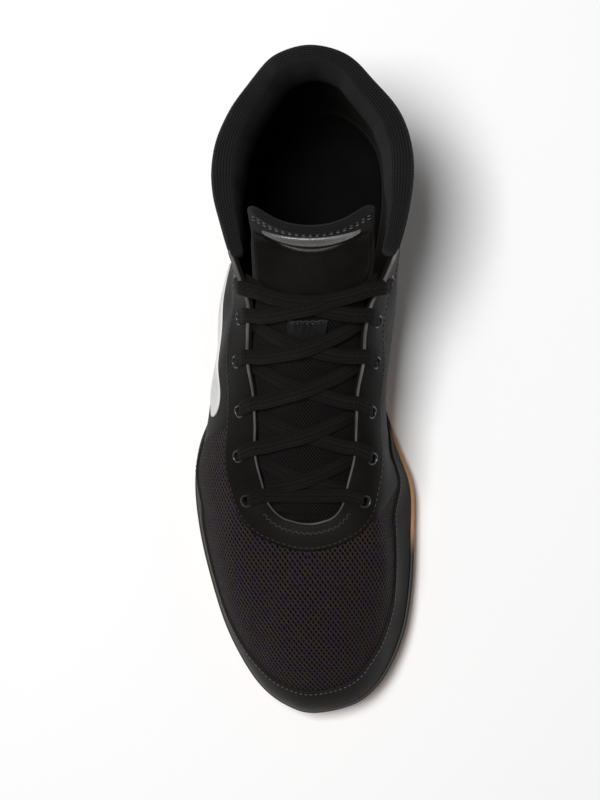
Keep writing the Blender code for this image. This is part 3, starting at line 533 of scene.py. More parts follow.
# Soft troughs (depth below 0) and ridges of the worn-in cloth. Each runs from one place to another, in shares
# of LENGTH from the toe, BALL_WIDTH from the middle and COLLAR_HEIGHT from the floor.
FOLD_COLUMNS = ("back", "side", "high", "to_back", "to_side", "to_high", "width", "depth")
FOLDS = (
    (0.34, 0.52, 0.16, 0.30, 0.30, 0.42, 0.0060, -0.0008),
    (0.39, 0.50, 0.14, 0.35, 0.30, 0.45, 0.0055, 0.0006),
    (0.43, 0.46, 0.14, 0.41, 0.28, 0.48, 0.0060, -0.0008),
    (0.35, -0.50, 0.16, 0.30, -0.22, 0.44, 0.0060, -0.0008),
    (0.40, -0.50, 0.14, 0.36, -0.24, 0.46, 0.0055, 0.0006),
    (0.45, -0.46, 0.14, 0.42, -0.22, 0.50, 0.0060, -0.0008),
    (0.27, 0.24, 0.52, 0.27, -0.16, 0.52, 0.0080, -0.0006),
    (0.52, 0.36, 0.30, 0.62, 0.34, 0.62, 0.0080, -0.0010),
    (0.58, 0.36, 0.22, 0.68, 0.36, 0.56, 0.0070, 0.0008),
    (0.56, -0.36, 0.24, 0.66, -0.30, 0.60, 0.0080, -0.0010),
    (0.50, -0.38, 0.26, 0.60, -0.32, 0.62, 0.0070, 0.0008),
    (0.74, 0.42, 0.30, 0.68, 0.38, 0.66, 0.0070, -0.0008),
    (0.76, -0.24, 0.30, 0.70, -0.28, 0.66, 0.0070, -0.0008),
    (0.84, 0.40, 0.42, 0.96, 0.28, 0.50, 0.0060, -0.0007),
    (0.84, -0.22, 0.42, 0.96, -0.12, 0.50, 0.0060, -0.0007),
)


def folds(points):
    """Push of the folds at each point: a sum of soft humps round short lines, exp(-(distance/width)^2)."""
    total = np.zeros(points.shape[:-1])
    for fold in FOLDS:
        value = dict(zip(FOLD_COLUMNS, fold))
        start, end = (
            np.array([
                LINE_X + value[to + "side"] * BALL_WIDTH,
                TOE_Y + value[to + "back"] * LENGTH,
                value[to + "high"] * COLLAR_HEIGHT,
            ])
            for to in ("", "to_")
        )
        run = end - start
        share = np.clip((points - start) @ run / (run @ run), 0, 1)
        away = np.linalg.norm(points - start - share[..., None] * run, axis=-1)
        total += value["depth"] * np.exp(-((away / value["width"]) ** 2))
    return total


def skin(at, share, out=0.0, folded=True):
    """The upper's outer face moved outwards by out, on a grid of parameters and shares along the ribs."""
    at = np.asarray(at, dtype=float)
    share = np.broadcast_to(np.asarray(share, dtype=float), (len(at), np.shape(share)[-1]))
    step = 0.02
    points, length = rib_points(at, share)
    around = rib_points(at + step, share)[0] - rib_points(at - step, share)[0]
    upward = rib_points(at, np.clip(share + step, 0, 1))[0] - rib_points(at, np.clip(share - step, 0, 1))[0]
    push = np.asarray(out, dtype=float)
    if folded:
        from_ends = np.minimum(share * length[:, None] - STAND, (1 - share) * length[:, None])
        push = push + folds(points) * np.clip(from_ends / 0.010, 0, 1)
    return points + np.broadcast_to(push, share.shape)[..., None] * unit(np.cross(around, upward))


def rib_length(at):
    return rib_points(at, np.zeros((len(at), 1)))[1]


def from_sole(at, distance):
    """Share along each rib that lies at a distance from the sole's seat."""
    return np.asarray(distance) / rib_length(at)


def from_top(at, distance):
    return 1 - np.asarray(distance) / rib_length(at)


# The ridge line over the shoe's middle, from the toe tip to the throat and on along the throat's edges
ridge = rib_points(np.zeros(1), np.linspace(0, 1, 80)[None])[0][0]
edge = smooth_closed(TOP_LOOP, np.linspace(0.5, LAST_STATION, 80))
ridge_y = np.concatenate([ridge[:, 1], edge[:, 1]])
ridge_z = np.concatenate([ridge[:, 2], edge[:, 2]])
order = np.argsort(ridge_y)
ridge_y, ridge_z = ridge_y[order], np.maximum.accumulate(ridge_z[order])
ridge_run = np.concatenate([[0], np.hypot(np.diff(ridge_y), np.diff(ridge_z)).cumsum()])


def cloth_place(points):
    """The cloth's own coordinates in metres: round the shoe from its ridge, and along the ridge.

    The way round joins the step sideways and the drop below the ridge as (x^1.5 + drop^1.5)^(2/3).
    """
    sideways = points[..., 0] - (LINE_X + 0.045 * BALL_WIDTH)
    drop = np.clip(np.interp(points[..., 1], ridge_y, ridge_z) - points[..., 2], 0, None)
    round_it = (np.abs(sideways) ** 1.5 + drop**1.5) ** (2 / 3) * np.where(sideways < 0, -1, 1)
    return np.stack([round_it, np.interp(points[..., 1], ridge_y, ridge_run)], axis=-1)


# Open mesh: yarns in two slanting directions, |sin(pi (across + down))| and |sin(pi (across - down))|, with a
# hole in each diamond between them
mesh_knit, ins, outs = effect("diamond_mesh", {"Vector": None, "Pitch": 0.0017}, ("Hole", "Height", "Yarn"))
flat = node(mesh_knit, "SeparateXYZ", {"Vector": ins["Vector"]}).outputs
wander = cloudy(mesh_knit, ins["Vector"], 700.0, 1.0)
across = sums(mesh_knit, "DIVIDE", flat["X"], ins["Pitch"])
down = times(mesh_knit, sums(mesh_knit, "DIVIDE", flat["Y"], ins["Pitch"]), 0.72)
down = plus(mesh_knit, down, times(mesh_knit, wander, 0.30))
slants = []
for operation in ("ADD", "SUBTRACT"):
    wave = sums(mesh_knit, "SINE", times(mesh_knit, sums(mesh_knit, operation, across, down), math.pi))
    slants.append(sums(mesh_knit, "ABSOLUTE", wave))
strong = sums(mesh_knit, "POWER", slants[0], 1.25)
inner = sums(mesh_knit, "MINIMUM", strong, slants[1])
fibre = cloudy(mesh_knit, ins["Vector"], 3200.0, 3.0, 0.7)
# The crests of one set of yarns are marked here, where a highlight is painted on the colour
feed(
    mesh_knit, outs,
    Hole=stepped(mesh_knit, inner, 0.50, 0.82),
    Height=plus(mesh_knit, stepped(mesh_knit, inner, 0.75, 0.05), times(mesh_knit, fibre, 0.25)),
    Yarn=times(mesh_knit, stepped(mesh_knit, slants[0], 0.6, 0.1), fibre),
)


def mesh_cloth(name, pitch, dark, light, warm):
    """Black mesh cloth: holes painted near black as shade over its dark backing, yarns between two shades with
    a painted highlight on their crests, and slow drifts towards a warm tint.

    Gives the material, its tree, its shader, and the sockets of its colour, roughness and height.
    """
    made, tree, shader = new_finish(name, Specular_IOR_Level=0.07, Sheen_Weight=0.02)
    where = own_place(tree)
    weave = placed(tree, mesh_knit, vector=where, pitch=pitch)
    drift = stepped(tree, cloudy(tree, where, 130.0, 3.0), 0.40, 0.60)
    yarn = blended(tree, drift, light, warm)
    # Painted highlight: the yarns' crests are lifted to 2.2 times the light colour
    shade = blended(tree, weave["Yarn"], yarn, tuple(2.2 * part for part in light))
    # Painted shade, over the dark backing: the holes take the near-black colour
    colour = blended(tree, weave["Hole"], shade, dark)
    rough = stepped(tree, weave["Height"], 0.0, 1.2, 0.95, 0.66)
    return made, tree, shader, colour, rough, weave["Height"]


# The quarters are faced with a smooth film from a slanting line back. On each side the line is a plane: its
# place along LENGTH at the floor, and how far that shifts for each metre of height.
QUARTER_LATERAL = (0.418, 0.22)
QUARTER_MEDIAL = (0.440, -0.62)
SMOOTH_BLACK, SMOOTH_WORN = (0.0048, 0.0041, 0.0036), (0.0074, 0.0063, 0.0056)
upper_mesh, tree, shader, colour, rough, bumps = mesh_cloth(
    "black_mesh", 0.0023, (0.0002, 0.0001, 0.0001), (0.0205, 0.0135, 0.0200), (0.0235, 0.0170, 0.0105)
)
where = object_place(tree)
flat = node(tree, "SeparateXYZ", {"Vector": where}).outputs
lines = []
for floor_share, shift in (QUARTER_LATERAL, QUARTER_MEDIAL):
    line = sums(tree, "MULTIPLY_ADD", flat["Z"], shift, TOE_Y + floor_share * LENGTH)
    lines.append(stepped(tree, sums(tree, "SUBTRACT", flat["Y"], line), -0.0002, 0.0002))
medial = stepped(tree, flat["X"], LINE_X - 0.0001, LINE_X + 0.0001)
film_zone = plus(tree, lines[0], times(tree, medial, sums(tree, "SUBTRACT", lines[1], lines[0])))
fine = placed(tree, grain, vector=where, scale=1100.0)


def between(tree, share, first, second):
    """A number between two numbers, by share."""
    return node(tree, "Mix", {0: share, 2: first, 3: second}, data_type="FLOAT").outputs[0]


film_colour = blended(tree, fine["Cloud"], SMOOTH_BLACK, SMOOTH_WORN)
film_rough = stepped(tree, fine["Gloss"], 0.2, 1.0, 0.48, 0.66)
film_height = sums(tree, "MULTIPLY_ADD", fine["Height"], 0.25, 0.9)
feed(
    tree, shader,
    Base_Color=blended(tree, film_zone, colour, film_colour),
    Roughness=between(tree, film_zone, rough, film_rough),
)
relief(tree, shader, between(tree, film_zone, bumps, film_height), 0.85, 0.0005)

lining, tree, shader = new_finish("brushed_lining", Roughness=0.9, Specular_IOR_Level=0.06, Sheen_Weight=0.02)
where = object_place(tree)
warmth = stepped(tree, cloudy(tree, where, 32.0, 2.0), 0.35, 0.65)
feed(tree, shader, Base_Color=blended(tree, warmth, (0.0045, 0.0037, 0.0030), (0.0085, 0.0068, 0.0045)))
relief(tree, shader, cloudy(tree, where, 1500.0, 4.0, 0.7), 0.5, 0.0003)

UPPER_STEPS, UPPER_RISE, LINING_RISE = 480, 104, 50
at = np.linspace(0, ROUND_SHOE, UPPER_STEPS, endpoint=False)


def rise_shares(at, steps):
    """Shares from the seat to the top line: one row at the seat, then even rows from the top of the lip."""
    low = from_sole(at, STAND)[:, None]
    return np.concatenate([np.zeros((len(at), 1)), low + (1 - low) * np.linspace(0, 1, steps - 1)], axis=1)


outside = skin(at, rise_shares(at, UPPER_RISE))
inside = skin(at, rise_shares(at, LINING_RISE), -WALL, folded=False)
shell = np.concatenate([outside, inside[:, ::-1]], axis=1)
shell_place = cloth_place(shell)
shell_place = np.concatenate([shell_place, shell_place[:1]])
shell_place = np.concatenate([shell_place, shell_place[:, :1]], axis=1)
slots = np.zeros(shell.shape[:2], dtype=int)
slots[:, UPPER_RISE - 1:] = 1
upper = surface(
    "upper_shell",
    [{"points": shell, "place": shell_place, "slots": slots, "rows_meet": True, "columns_meet": True}],
    [upper_mesh, lining], crease_angle=60,
)

# Punched eyelets: a round hole through film, cloth and lining
EYELET_STATIONS = (5.45, 7.05, 8.45, 10.05, 11.45, 12.85)
EYELET_INSET = 0.0090
EYELET_RADIUS = 0.0021
eyelet_at = np.concatenate([EYELET_STATIONS, ROUND_SHOE - np.array(EYELET_STATIONS)])
eyelet_share = from_top(eyelet_at, EYELET_INSET)[:, None]
eyelet_centre = skin(eyelet_at, eyelet_share)[:, 0]
eyelet_axis = unit(skin(eyelet_at, eyelet_share, WALL)[:, 0] - eyelet_centre)
eyelet_side = unit(np.cross(eyelet_axis, (0.0, 1.0, 0.0)))
eyelet_along = np.cross(eyelet_axis, eyelet_side)


def turned(centre, axis, side, along, radii, heights, sides=24):
    """Rings round each axis: centre + height * axis + radius * (cos turn * side + sin turn * along)."""
    turn = np.linspace(0, math.tau, sides, endpoint=False)[:, None]
    round_it = np.cos(turn) * side[:, None, None] + np.sin(turn) * along[:, None, None]
    radii, heights = np.asarray(radii)[:, None, None], np.asarray(heights)[:, None, None]
    return centre[:, None, None] + heights * axis[:, None, None] + radii * round_it


def punch(piece, cutter):
    """The cutter is taken out of the piece, and the result becomes the piece's own mesh."""
    cut = piece.modifiers.new("punched", "BOOLEAN")
    cut.operation, cut.solver, cut.object = "DIFFERENCE", "MANIFOLD", cutter
    graph = bpy.context.evaluated_depsgraph_get()
    mesh = bpy.data.meshes.new_from_object(piece.evaluated_get(graph))
    piece.modifiers.clear()
    piece.data = mesh
    mesh.shade_smooth()
    mesh.set_sharp_from_angle(angle=math.radians(50))


pegs = turned(
    eyelet_centre, eyelet_axis, eyelet_side, eyelet_along,
    np.array([0, 1, 1, 0]) * EYELET_RADIUS, np.array([-3, -3, 3, 3]) * WALL,
)
cutter = surface("eyelet_pegs", [{"points": pegs, "columns_meet": True}], [])
punch(upper, cutter)
seat_on(upper, "black_mesh", "upper")


# The toe guard
# A smooth abrasion film heat-pressed round the toe and along the forefoot, with a fine row of light
# stitches just inside its upper edge.
OVERLAY = 0.0009
# How high the face of a pressed film lies above the cloth
FILM_FACE = 0.0010
GUARD_FRONT = 0.0190
GUARD_MEDIAL = 0.0205
GUARD_LATERAL = 0.0150
GUARD_START = 0.0025
GUARD_ENDS = 8.8
GUARD_TAPER = 2.4
GUARD_FRONT_REACH = 5.0
GUARD_ROW_INSET = 0.0014


def quarter_round(share):
    """0 at an edge, rising as a quarter circle to 1 where share is 1: sqrt(1 - (1 - share)^2)."""
    return np.sqrt(1 - (1 - np.clip(share, 0, 1)) ** 2)


def film(name, at, low, high, thickness, finish, across=22, base=0.0001, edge=0.0007):
    """A thin piece on the upper between two lines of shares, its edges rounded as a quarter circle.

    The face stands out by thickness * sqrt(1 - (1 - d/edge)^2) at a distance d from the piece's border. Its
    place is the way along the shoe and the way down from its upper edge, in metres.
    """
    spread = 0.5 - 0.5 * np.cos(np.linspace(0, math.pi, across))
    share = low[:, None] + (high - low)[:, None] * spread
    width = ((high - low) * rib_length(at))[:, None]
    middle = skin(at, share)
    run = way_along(middle[:, -1])
    to_end = np.minimum(run, run[-1] - run)[:, None]
    border = np.minimum(np.minimum(spread, 1 - spread) * width, to_end)
    lifted = thickness * quarter_round(border / edge)
    face = skin(at, share, base + lifted)
    back = skin(at, share, base - 0.0003 * (border > 0))
    closed = np.concatenate([face, back[:, -2:0:-1]], axis=1)
    downward = (1 - spread) * width
    downward = np.concatenate([downward, downward[:, -2:0:-1], downward[:, :1]], axis=1)
    place = np.stack([run[:, None] + 0 * downward, downward], axis=-1)
    grids = [{"points": closed, "place": place, "columns_meet": True}]
    return surface(name, grids, [finish], crease_angle=70)


def guard_edge(at):
    """Share of the guard's upper edge: deepest at the toe tip, even along the sides, falling at its ends."""
    near = np.abs(at)
    side = np.where(at > 0, GUARD_MEDIAL, GUARD_LATERAL)
    deep = side + (GUARD_FRONT - side) * np.exp(-((near / (GUARD_FRONT_REACH / 2)) ** 2))
    taper = np.sqrt(np.clip((GUARD_ENDS - near) / GUARD_TAPER, 0, 1))
    return from_sole(at, STAND + 3 * GAP + GUARD_START + (deep - GUARD_START) * taper)


def film_finish(name, colour, worn, roughness, scale=1500.0, shine=0.2):
    """Pressed film: its colour drifts a little to a worn shade, over a fine pebbled grain."""
    made, tree, shader = new_finish(name, Specular_IOR_Level=shine)
    fine = placed(tree, grain, vector=object_place(tree), scale=scale)
    feed(
        tree, shader,
        Base_Color=blended(tree, fine["Cloud"], colour, worn),
        Roughness=stepped(tree, fine["Gloss"], 0.2, 1.0, roughness - 0.08, roughness + 0.12),
    )
    relief(tree, shader, fine["Height"], 0.5, 0.00012)
    return made


guard_film = film_finish("guard_film", (0.0092, 0.0074, 0.0068), (0.0135, 0.0110, 0.0102), 0.54, shine=0.08)
at = np.linspace(-GUARD_ENDS, GUARD_ENDS, 420)
guard_foot = from_sole(at, STAND + 3 * GAP)
guard = film("toe_guard_film", at, guard_foot, guard_edge(at), OVERLAY, guard_film)
seat_on(guard, "guard_film", "toe_guard")


def swept(path, wide, half_width, half_depth, sides=12, square=1.0):
    """A section carried along paths: an oval, squarer as square falls, whose width lies nearest to wide."""
    ahead = unit(np.gradient(path, axis=-2))
    wide = unit(wide - (wide * ahead).sum(axis=-1, keepdims=True) * ahead)
    deep = np.cross(ahead, wide)
    turn = np.linspace(0, math.tau, sides, endpoint=False)
    cos, sin = (np.sign(part) * np.abs(part) ** square for part in (np.cos(turn), np.sin(turn)))
    half_width, half_depth = (np.broadcast_to(half, path.shape[:-1]) for half in (half_width, half_depth))
    return (
        path[..., None, :]
        + (half_width[..., None] * cos)[..., None] * wide[..., None, :]
        + (half_depth[..., None] * sin)[..., None] * deep[..., None, :]
    )


def read_along(where, run, points):
    """Points read between a row's own points, which lie at the places of run."""
    return np.stack([np.interp(where, run, points[:, axis]) for axis in range(3)], axis=-1)


def stitches(path, out, pitch, length, radius, slant=0.0):
    """Thread stitches set at even steps along a path: short rounded rods, arched, with both ends let in."""
    run = way_along(path)
    count = int(run[-1] / pitch)
    middle = (np.arange(count) + 0.5) * run[-1] / count
    along = middle[:, None] + np.linspace(-0.5, 0.5, 7) * length
    face = unit(read_along(along, run, out))
    centre = read_along(along, run, path)
    share = np.linspace(-1, 1, 7)
    side = np.cross(face, unit(np.gradient(centre, axis=1)))
    flip = np.where(np.arange(count) % 2 == 0, 1, -1)[:, None, None]
    centre = centre + slant * flip * share[:, None] * side * 0.5 * length
    centre = centre + (radius * (0.75 - 1.4 * share**2))[:, None] * face
    half = radius * np.sqrt(np.clip(1 - share**6, 0, 1))
    return swept(centre, side, half + 0 * along, half + 0 * along, sides=6)


def thread(name, colour):
    """Twisted thread with a slight shine, painted darker in the grooves of its twist as shade."""
    made, tree, shader = new_finish(name, Roughness=0.5, Specular_IOR_Level=0.4)
    values = {"Vector": object_place(tree), "Scale": 900.0, "Distortion": 2.0}
    twist = node(tree, "TexWave", values, bands_direction="DIAGONAL").outputs["Fac"]
    # Painted shade: the grooves of the twist take 0.7 of the thread's colour
    feed(tree, shader, Base_Color=blended(tree, twist, tuple(0.7 * part for part in colour), colour))
    relief(tree, shader, twist, 0.5, 0.0001)
    return made


grey_thread = thread("grey_thread", (0.085, 0.080, 0.078))
dark_thread = thread("dark_thread", (0.030, 0.028, 0.028))


def line_on_skin(at, share, lift):
    """A path on the upper's face raised by lift, and the directions out of the face along it."""
    path = skin(at, share[:, None], lift)[:, 0]
    return path, unit(skin(at, share[:, None], lift + WALL)[:, 0] - path)


at = np.linspace(-GUARD_ENDS + 0.5, GUARD_ENDS - 0.5, 600)
path, out = line_on_skin(at, guard_edge(at) - from_sole(at, GUARD_ROW_INSET), FILM_FACE)
sewn = stitches(path, out, pitch=0.0023, length=0.0015, radius=0.00022)
guard_row = surface("guard_stitches", [{"points": sewn, "columns_meet": True}], [grey_thread])
seat_on(guard_row, "guard_film")


# The eyestay
# A smooth synthetic film pressed round the throat with punched eyelets. Its cut edge is bound with a thin
# piping whose light grey is a painted highlight along the edge, and a zigzag row holds the front of the
# throat.
CORNER_STATION = 14.0
EYESTAY_FRONT = 0.0125
EYESTAY_SIDE = 0.0190
EYESTAY_FRONT_REACH = 3.0
EYESTAY_SIDE_FROM = 7.0
EYESTAY_ENDS = CORNER_STATION - 0.3
ZIGZAG_REACH = 4.4
ZIGZAG_INSET = 0.0042
BORDER_ROW_INSET = 0.0017
PIPING_HALF_WIDTH = 0.00085
PIPING_HALF_DEPTH = 0.00050
eyestay_film = film_finish("eyestay_film", SMOOTH_BLACK, SMOOTH_WORN, 0.52, 1100.0, shine=0.07)


def eyestay_width(at):
    widening = np.clip((np.abs(at) - EYESTAY_FRONT_REACH) / (EYESTAY_SIDE_FROM - EYESTAY_FRONT_REACH), 0, 1)
    return EYESTAY_FRONT + (EYESTAY_SIDE - EYESTAY_FRONT) * widening


at = np.linspace(-EYESTAY_ENDS, EYESTAY_ENDS, 520)
eyestay = film(
    "eyestay_panel", at, from_top(at, eyestay_width(at)), from_top(at, GAP), OVERLAY, eyestay_film, across=30
)
punch(eyestay, cutter)
seat_on(eyestay, "eyestay_film", "eyestay")
bpy.data.objects.remove(cutter)

# Rim of each hole, where the film was melted round the punch: radius and height above the cloth
RIM_PROFILE = (
    (0.0020, -0.0004), (0.0020, 0.0009), (0.0021, 0.0012), (0.0024, 0.0014), (0.0027, 0.0013),
    (0.0030, 0.0010), (0.0030, 0.0006),
)
rims = turned(eyelet_centre, eyelet_axis, eyelet_side, eyelet_along, *np.array(RIM_PROFILE).T, sides=28)
rim_film = film_finish("rim_film", (0.014, 0.013, 0.013), (0.022, 0.020, 0.020), 0.22, shine=0.6)
eyelet_rims = surface(
    "eyelet_rims", [{"points": np.moveaxis(rims, 1, 2), "rows_meet": True, "columns_meet": True}], [rim_film]
)
seat_on(eyelet_rims, "eyestay_film")

# The piping's light grey colour is a painted highlight along the throat's edge
piping, tree, shader = new_finish("piping_painted_highlight", Specular_IOR_Level=0.5)
fine = placed(tree, grain, vector=object_place(tree), scale=1800.0)
feed(
    tree, shader,
    Base_Color=blended(tree, fine["Cloud"], (0.060, 0.057, 0.057), (0.12, 0.117, 0.116)),
    Roughness=stepped(tree, fine["Gloss"], 0.2, 1.0, 0.26, 0.42),
)
relief(tree, shader, fine["Height"], 0.4, 0.0001)


def rounded_ends(count, taper):
    """Shares that close a swept piece: 1 along it, and a quarter circle over taper samples at each end."""
    near = np.minimum(np.arange(count), count - 1 - np.arange(count))
    return quarter_round(near / taper)


at = np.linspace(-EYESTAY_ENDS, EYESTAY_ENDS, 700)
path, out = line_on_skin(at, from_top(at, 0.0), 0.00035)
close = rounded_ends(len(at), 4)
cord = swept(path, out, PIPING_HALF_WIDTH * close, PIPING_HALF_DEPTH * close, sides=10)
edge_piping = surface("throat_piping", [{"points": cord, "columns_meet": True}], [piping])
seat_on(edge_piping, "eyestay_film")

at = np.linspace(-ZIGZAG_REACH, ZIGZAG_REACH, 300)
path, out = line_on_skin(at, from_top(at, ZIGZAG_INSET), FILM_FACE)
zigzag = stitches(path, out, pitch=0.0013, length=0.0016, radius=0.00020, slant=1.1)
at = np.linspace(-EYESTAY_ENDS + 0.3, EYESTAY_ENDS - 0.3, 900)
path, out = line_on_skin(at, from_top(at, eyestay_width(at) - BORDER_ROW_INSET), FILM_FACE)
border = stitches(path, out, pitch=0.0026, length=0.0018, radius=0.00018)
throat_rows = surface(
    "throat_stitches",
    [{"points": zigzag, "columns_meet": True}, {"points": border, "columns_meet": True}], [dark_thread],
)
seat_on(throat_rows, "eyestay_film")


# The side band
# A plain band of white film with round ends, pressed on the lateral side.
BAND_LOW = 0.0330
BAND_WIDTH = 0.0190
BAND_THICKNESS = 0.0006
BAND_FRONT_END = 8.6
BAND_REAR_END = 13.2
BAND_END_POWER = 6
white_film = film_finish("white_film", (0.74, 0.73, 0.73), (0.62, 0.61, 0.605), 0.42, shine=0.35)
first, last = ROUND_SHOE - BAND_REAR_END, ROUND_SHOE - BAND_FRONT_END
at = np.linspace(first, last, 220)
round_end = np.sqrt(np.clip(1 - np.abs(2 * (at - first) / (last - first) - 1) ** BAND_END_POWER, 0.0004, 1))
middle = BAND_LOW + BAND_WIDTH / 2
band = film(
    "side_band_film", at, from_sole(at, middle - round_end * BAND_WIDTH / 2),
    from_sole(at, middle + round_end * BAND_WIDTH / 2), BAND_THICKNESS, white_film,
)
seat_on(band, "white_film", "side_band")


# The collar cuff
# A padded roll of matte knit cloth over foam, sewn inside the top line from one front corner round the heel
# to the other, with a dark piping in the seam outside.
CUFF_RISE = 0.0075
CUFF_PAD = 0.0078
CUFF_DEPTH = 0.0300
CUFF_START_SHARE = 0.30
CUFF_SWELL_STATIONS = 2.0
# The share of the foam that is worn away at the back of the heel, and over how many stations
CUFF_SLIMMER = 0.5
CUFF_WORN_REACH = 2.6
SEAM_INSET = 0.0008
SEAM_HALF_WIDTH = 0.0007
SEAM_HALF_DEPTH = 0.0008
CUFF_FIRST = CORNER_STATION - 0.6
# Corners of the roll's section, from the pad's lower end up its inside: depth below the top line is a share
# of CUFF_DEPTH, way_in of CUFF_PAD from the wall, and rise of CUFF_RISE above it. Then over its top and down
# in front of the edge: way_in is a share of the pad and the wall together.
CUFF_FACE = (
    (1.00, 0.30, 0.00), (0.62, 0.80, 0.00), (0.22, 1.00, 0.00), (0.00, 0.97, 0.30), (0.00, 0.72, 0.80),
)
CUFF_TOP = ((0.30, 1.00), (0.06, 0.86), (-0.04, 0.48))


def cuff_section(at):
    """The roll's section at each parameter: a ring of corners up its inside, over its top and down behind."""
    near = np.minimum(at, ROUND_SHOE - at)
    swelling = np.clip((near - CUFF_FIRST) / CUFF_SWELL_STATIONS, 0, 1)[:, None]
    full = CUFF_START_SHARE + (1 - CUFF_START_SHARE) * swelling
    slim = 1 - CUFF_SLIMMER * np.exp(-(((near - LAST_STATION) / CUFF_WORN_REACH) ** 2))[:, None]
    edge = skin(at, from_top(at, 0.0)[:, None])[:, 0]
    up = unit(edge - skin(at, from_top(at, WALL)[:, None])[:, 0])
    behind = WALL + SOFT_GAP

    def place(depth, way_in, rise):
        """Depth below the top line, way in from the outer face, rise above the line."""
        base = skin(at, from_top(at, depth)[:, None])[:, 0]
        inward = skin(at, from_top(at, depth)[:, None], -WALL)[:, 0] - base
        return base + inward / WALL * way_in + up * rise

    ring = [
        place(depth * CUFF_DEPTH, behind + way_in * CUFF_PAD * full * slim, rise * CUFF_RISE * full)
        for depth, way_in, rise in CUFF_FACE
    ]
    ring += [
        place(0.0, way_in * (behind + CUFF_PAD * full * slim), rise * CUFF_RISE * full)
        for way_in, rise in CUFF_TOP
    ]
    ring.append(place(0.0, 0.0, GAP))
    ring.append(place(0.0, 0.5 * behind, GAP))
    ring += [place(depth * CUFF_DEPTH, behind, 0.0) for depth in (0.10, 0.55, 0.95)]
    return np.stack(ring, axis=1)


CUFF_STEPS, CUFF_ROUND = 420, 72
at = np.linspace(CUFF_FIRST, ROUND_SHOE - CUFF_FIRST, CUFF_STEPS)
corners = cuff_section(at)
turn = np.linspace(0, corners.shape[1], CUFF_ROUND, endpoint=False)


def round_section(corners, turn):
    """The closed smooth curve through each section's corners, read at the same turns in every section."""
    first = np.floor(turn).astype(int)
    share = (turn - first)[None, :, None]
    count = corners.shape[1]
    before, here, after, beyond = (corners[:, (first + step) % count] for step in (-1, 0, 1, 2))
    return 0.5 * (
        2 * here
        + (after - before) * share
        + (2 * before - 5 * here + 4 * after - beyond) * share**2
        + (3 * here - before - 3 * after + beyond) * share**3
    )


roll = round_section(corners, turn)
run = way_along(corners[:, len(CUFF_FACE) + 1])
# Soft puckers where the seam pulls the foam, and slow swells along the roll
swell = 0.00035 * np.sin(run * 210 + 1.3) + 0.00025 * np.sin(run * 437 + 0.4)
centre = roll.mean(axis=1, keepdims=True)
outward = unit(roll - centre)
inner_side = np.clip(np.sin(turn / corners.shape[1] * math.tau), 0, 1)
roll = roll + outward * (swell[:, None] * inner_side)[..., None]
close = rounded_ends(CUFF_STEPS, 6)[:, None, None]
roll = centre + (roll - centre) * close
girth = way_along(np.concatenate([roll[200], roll[200, :1]]))
place = np.stack(np.broadcast_arrays(run[:, None], girth[None, :]), axis=-1)

knit, ins, outs = effect("fine_knit", {"Vector": None, "Pitch": 0.0011}, ("Height", "Valley"))
flat = node(knit, "SeparateXYZ", {"Vector": ins["Vector"]}).outputs
column = sums(knit, "DIVIDE", flat["X"], ins["Pitch"])
course = times(knit, sums(knit, "DIVIDE", flat["Y"], ins["Pitch"]), 1.3)
lean = sums(knit, "ABSOLUTE", sums(knit, "SUBTRACT", sums(knit, "FRACT", column), 0.5))
loops = sums(knit, "SINE", times(knit, plus(knit, course, lean), math.tau))
valley = sums(knit, "POWER", sums(knit, "ABSOLUTE", sums(knit, "SINE", times(knit, column, math.pi))), 0.5)
fuzz = cloudy(knit, ins["Vector"], 2600.0, 4.0, 0.7)
bulk = times(knit, stepped(knit, loops, -1.0, 1.0), valley)
# bulk, the height of the loops, makes both the bump and the painted shade in the colour
feed(knit, outs, Height=plus(knit, bulk, times(knit, fuzz, 0.6)), Valley=bulk)


def knit_cloth(name, pitch, dark, light):
    """Matte knit cloth: small leaning loops in columns, fuzz over them, and painted shade in their hollows."""
    made, tree, shader = new_finish(name, Roughness=0.92, Specular_IOR_Level=0.10, Sheen_Weight=0.05)
    shader.inputs["Sheen Roughness"].default_value = 0.6
    where = own_place(tree)
    loops = placed(tree, knit, vector=where, pitch=pitch)
    drift = stepped(tree, cloudy(tree, where, 45.0, 3.0), 0.3, 0.7, 0.75, 1.0)
    # Painted shade: the colour runs from dark in the hollows between the loops to light on their tops
    shade = times(tree, stepped(tree, loops["Valley"], 0.0, 0.9), drift)
    feed(tree, shader, Base_Color=blended(tree, shade, dark, light))
    relief(tree, shader, loops["Height"], 0.7, 0.0004)
    return made


cuff_knit = knit_cloth("knit_lining", 0.0012, (0.0014, 0.0014, 0.0014), (0.0150, 0.0150, 0.0152))
grids = [{"points": roll, "place": place, "columns_meet": True}]
cuff = surface("cuff_roll", grids, [cuff_knit], crease_angle=80)
seat_on(cuff, "knit_lining", "collar_cuff")

seam_film = film_finish("seam_film", (0.004, 0.004, 0.004), (0.008, 0.0077, 0.0077), 0.28, shine=0.3)
at = np.linspace(CUFF_FIRST, ROUND_SHOE - CUFF_FIRST, 500)
path, out = line_on_skin(at, from_top(at, SEAM_INSET), GAP)
close = rounded_ends(len(at), 5)
cord = swept(path, out, SEAM_HALF_WIDTH * close, SEAM_HALF_DEPTH * close)
seam = surface("collar_piping", [{"points": cord, "columns_meet": True}], [seam_film])
seat_on(seam, "knit_lining")


# The tongue
# A padded tongue of mesh over foam. It is thin where it runs under the front of the throat, fills out
# towards the ankle, and its free end curves round the shin, edged with a sewn binding.
TONGUE_WIDTH = 0.0600
TONGUE_THICKNESS = 0.0045
TONGUE_PAD = 0.0070
TONGUE_RISE = 0.0170
TONGUE_CROWN = 0.0110
TONGUE_CURL = 0.0110
TONGUE_CURL_FROM = 12.4
EDGE_INSET = 0.0004
ARCH_POWER = 2.4
FREE_STATION = CORNER_STATION - 0.2
TONGUE_END = FREE_STATION + 1.0
FREE_LEAN = np.array([0.0, 0.42, 0.91])
PLACES = np.linspace(-1, 1, 61)
TONGUE_FINE = np.linspace(1.0, TONGUE_END, 140)


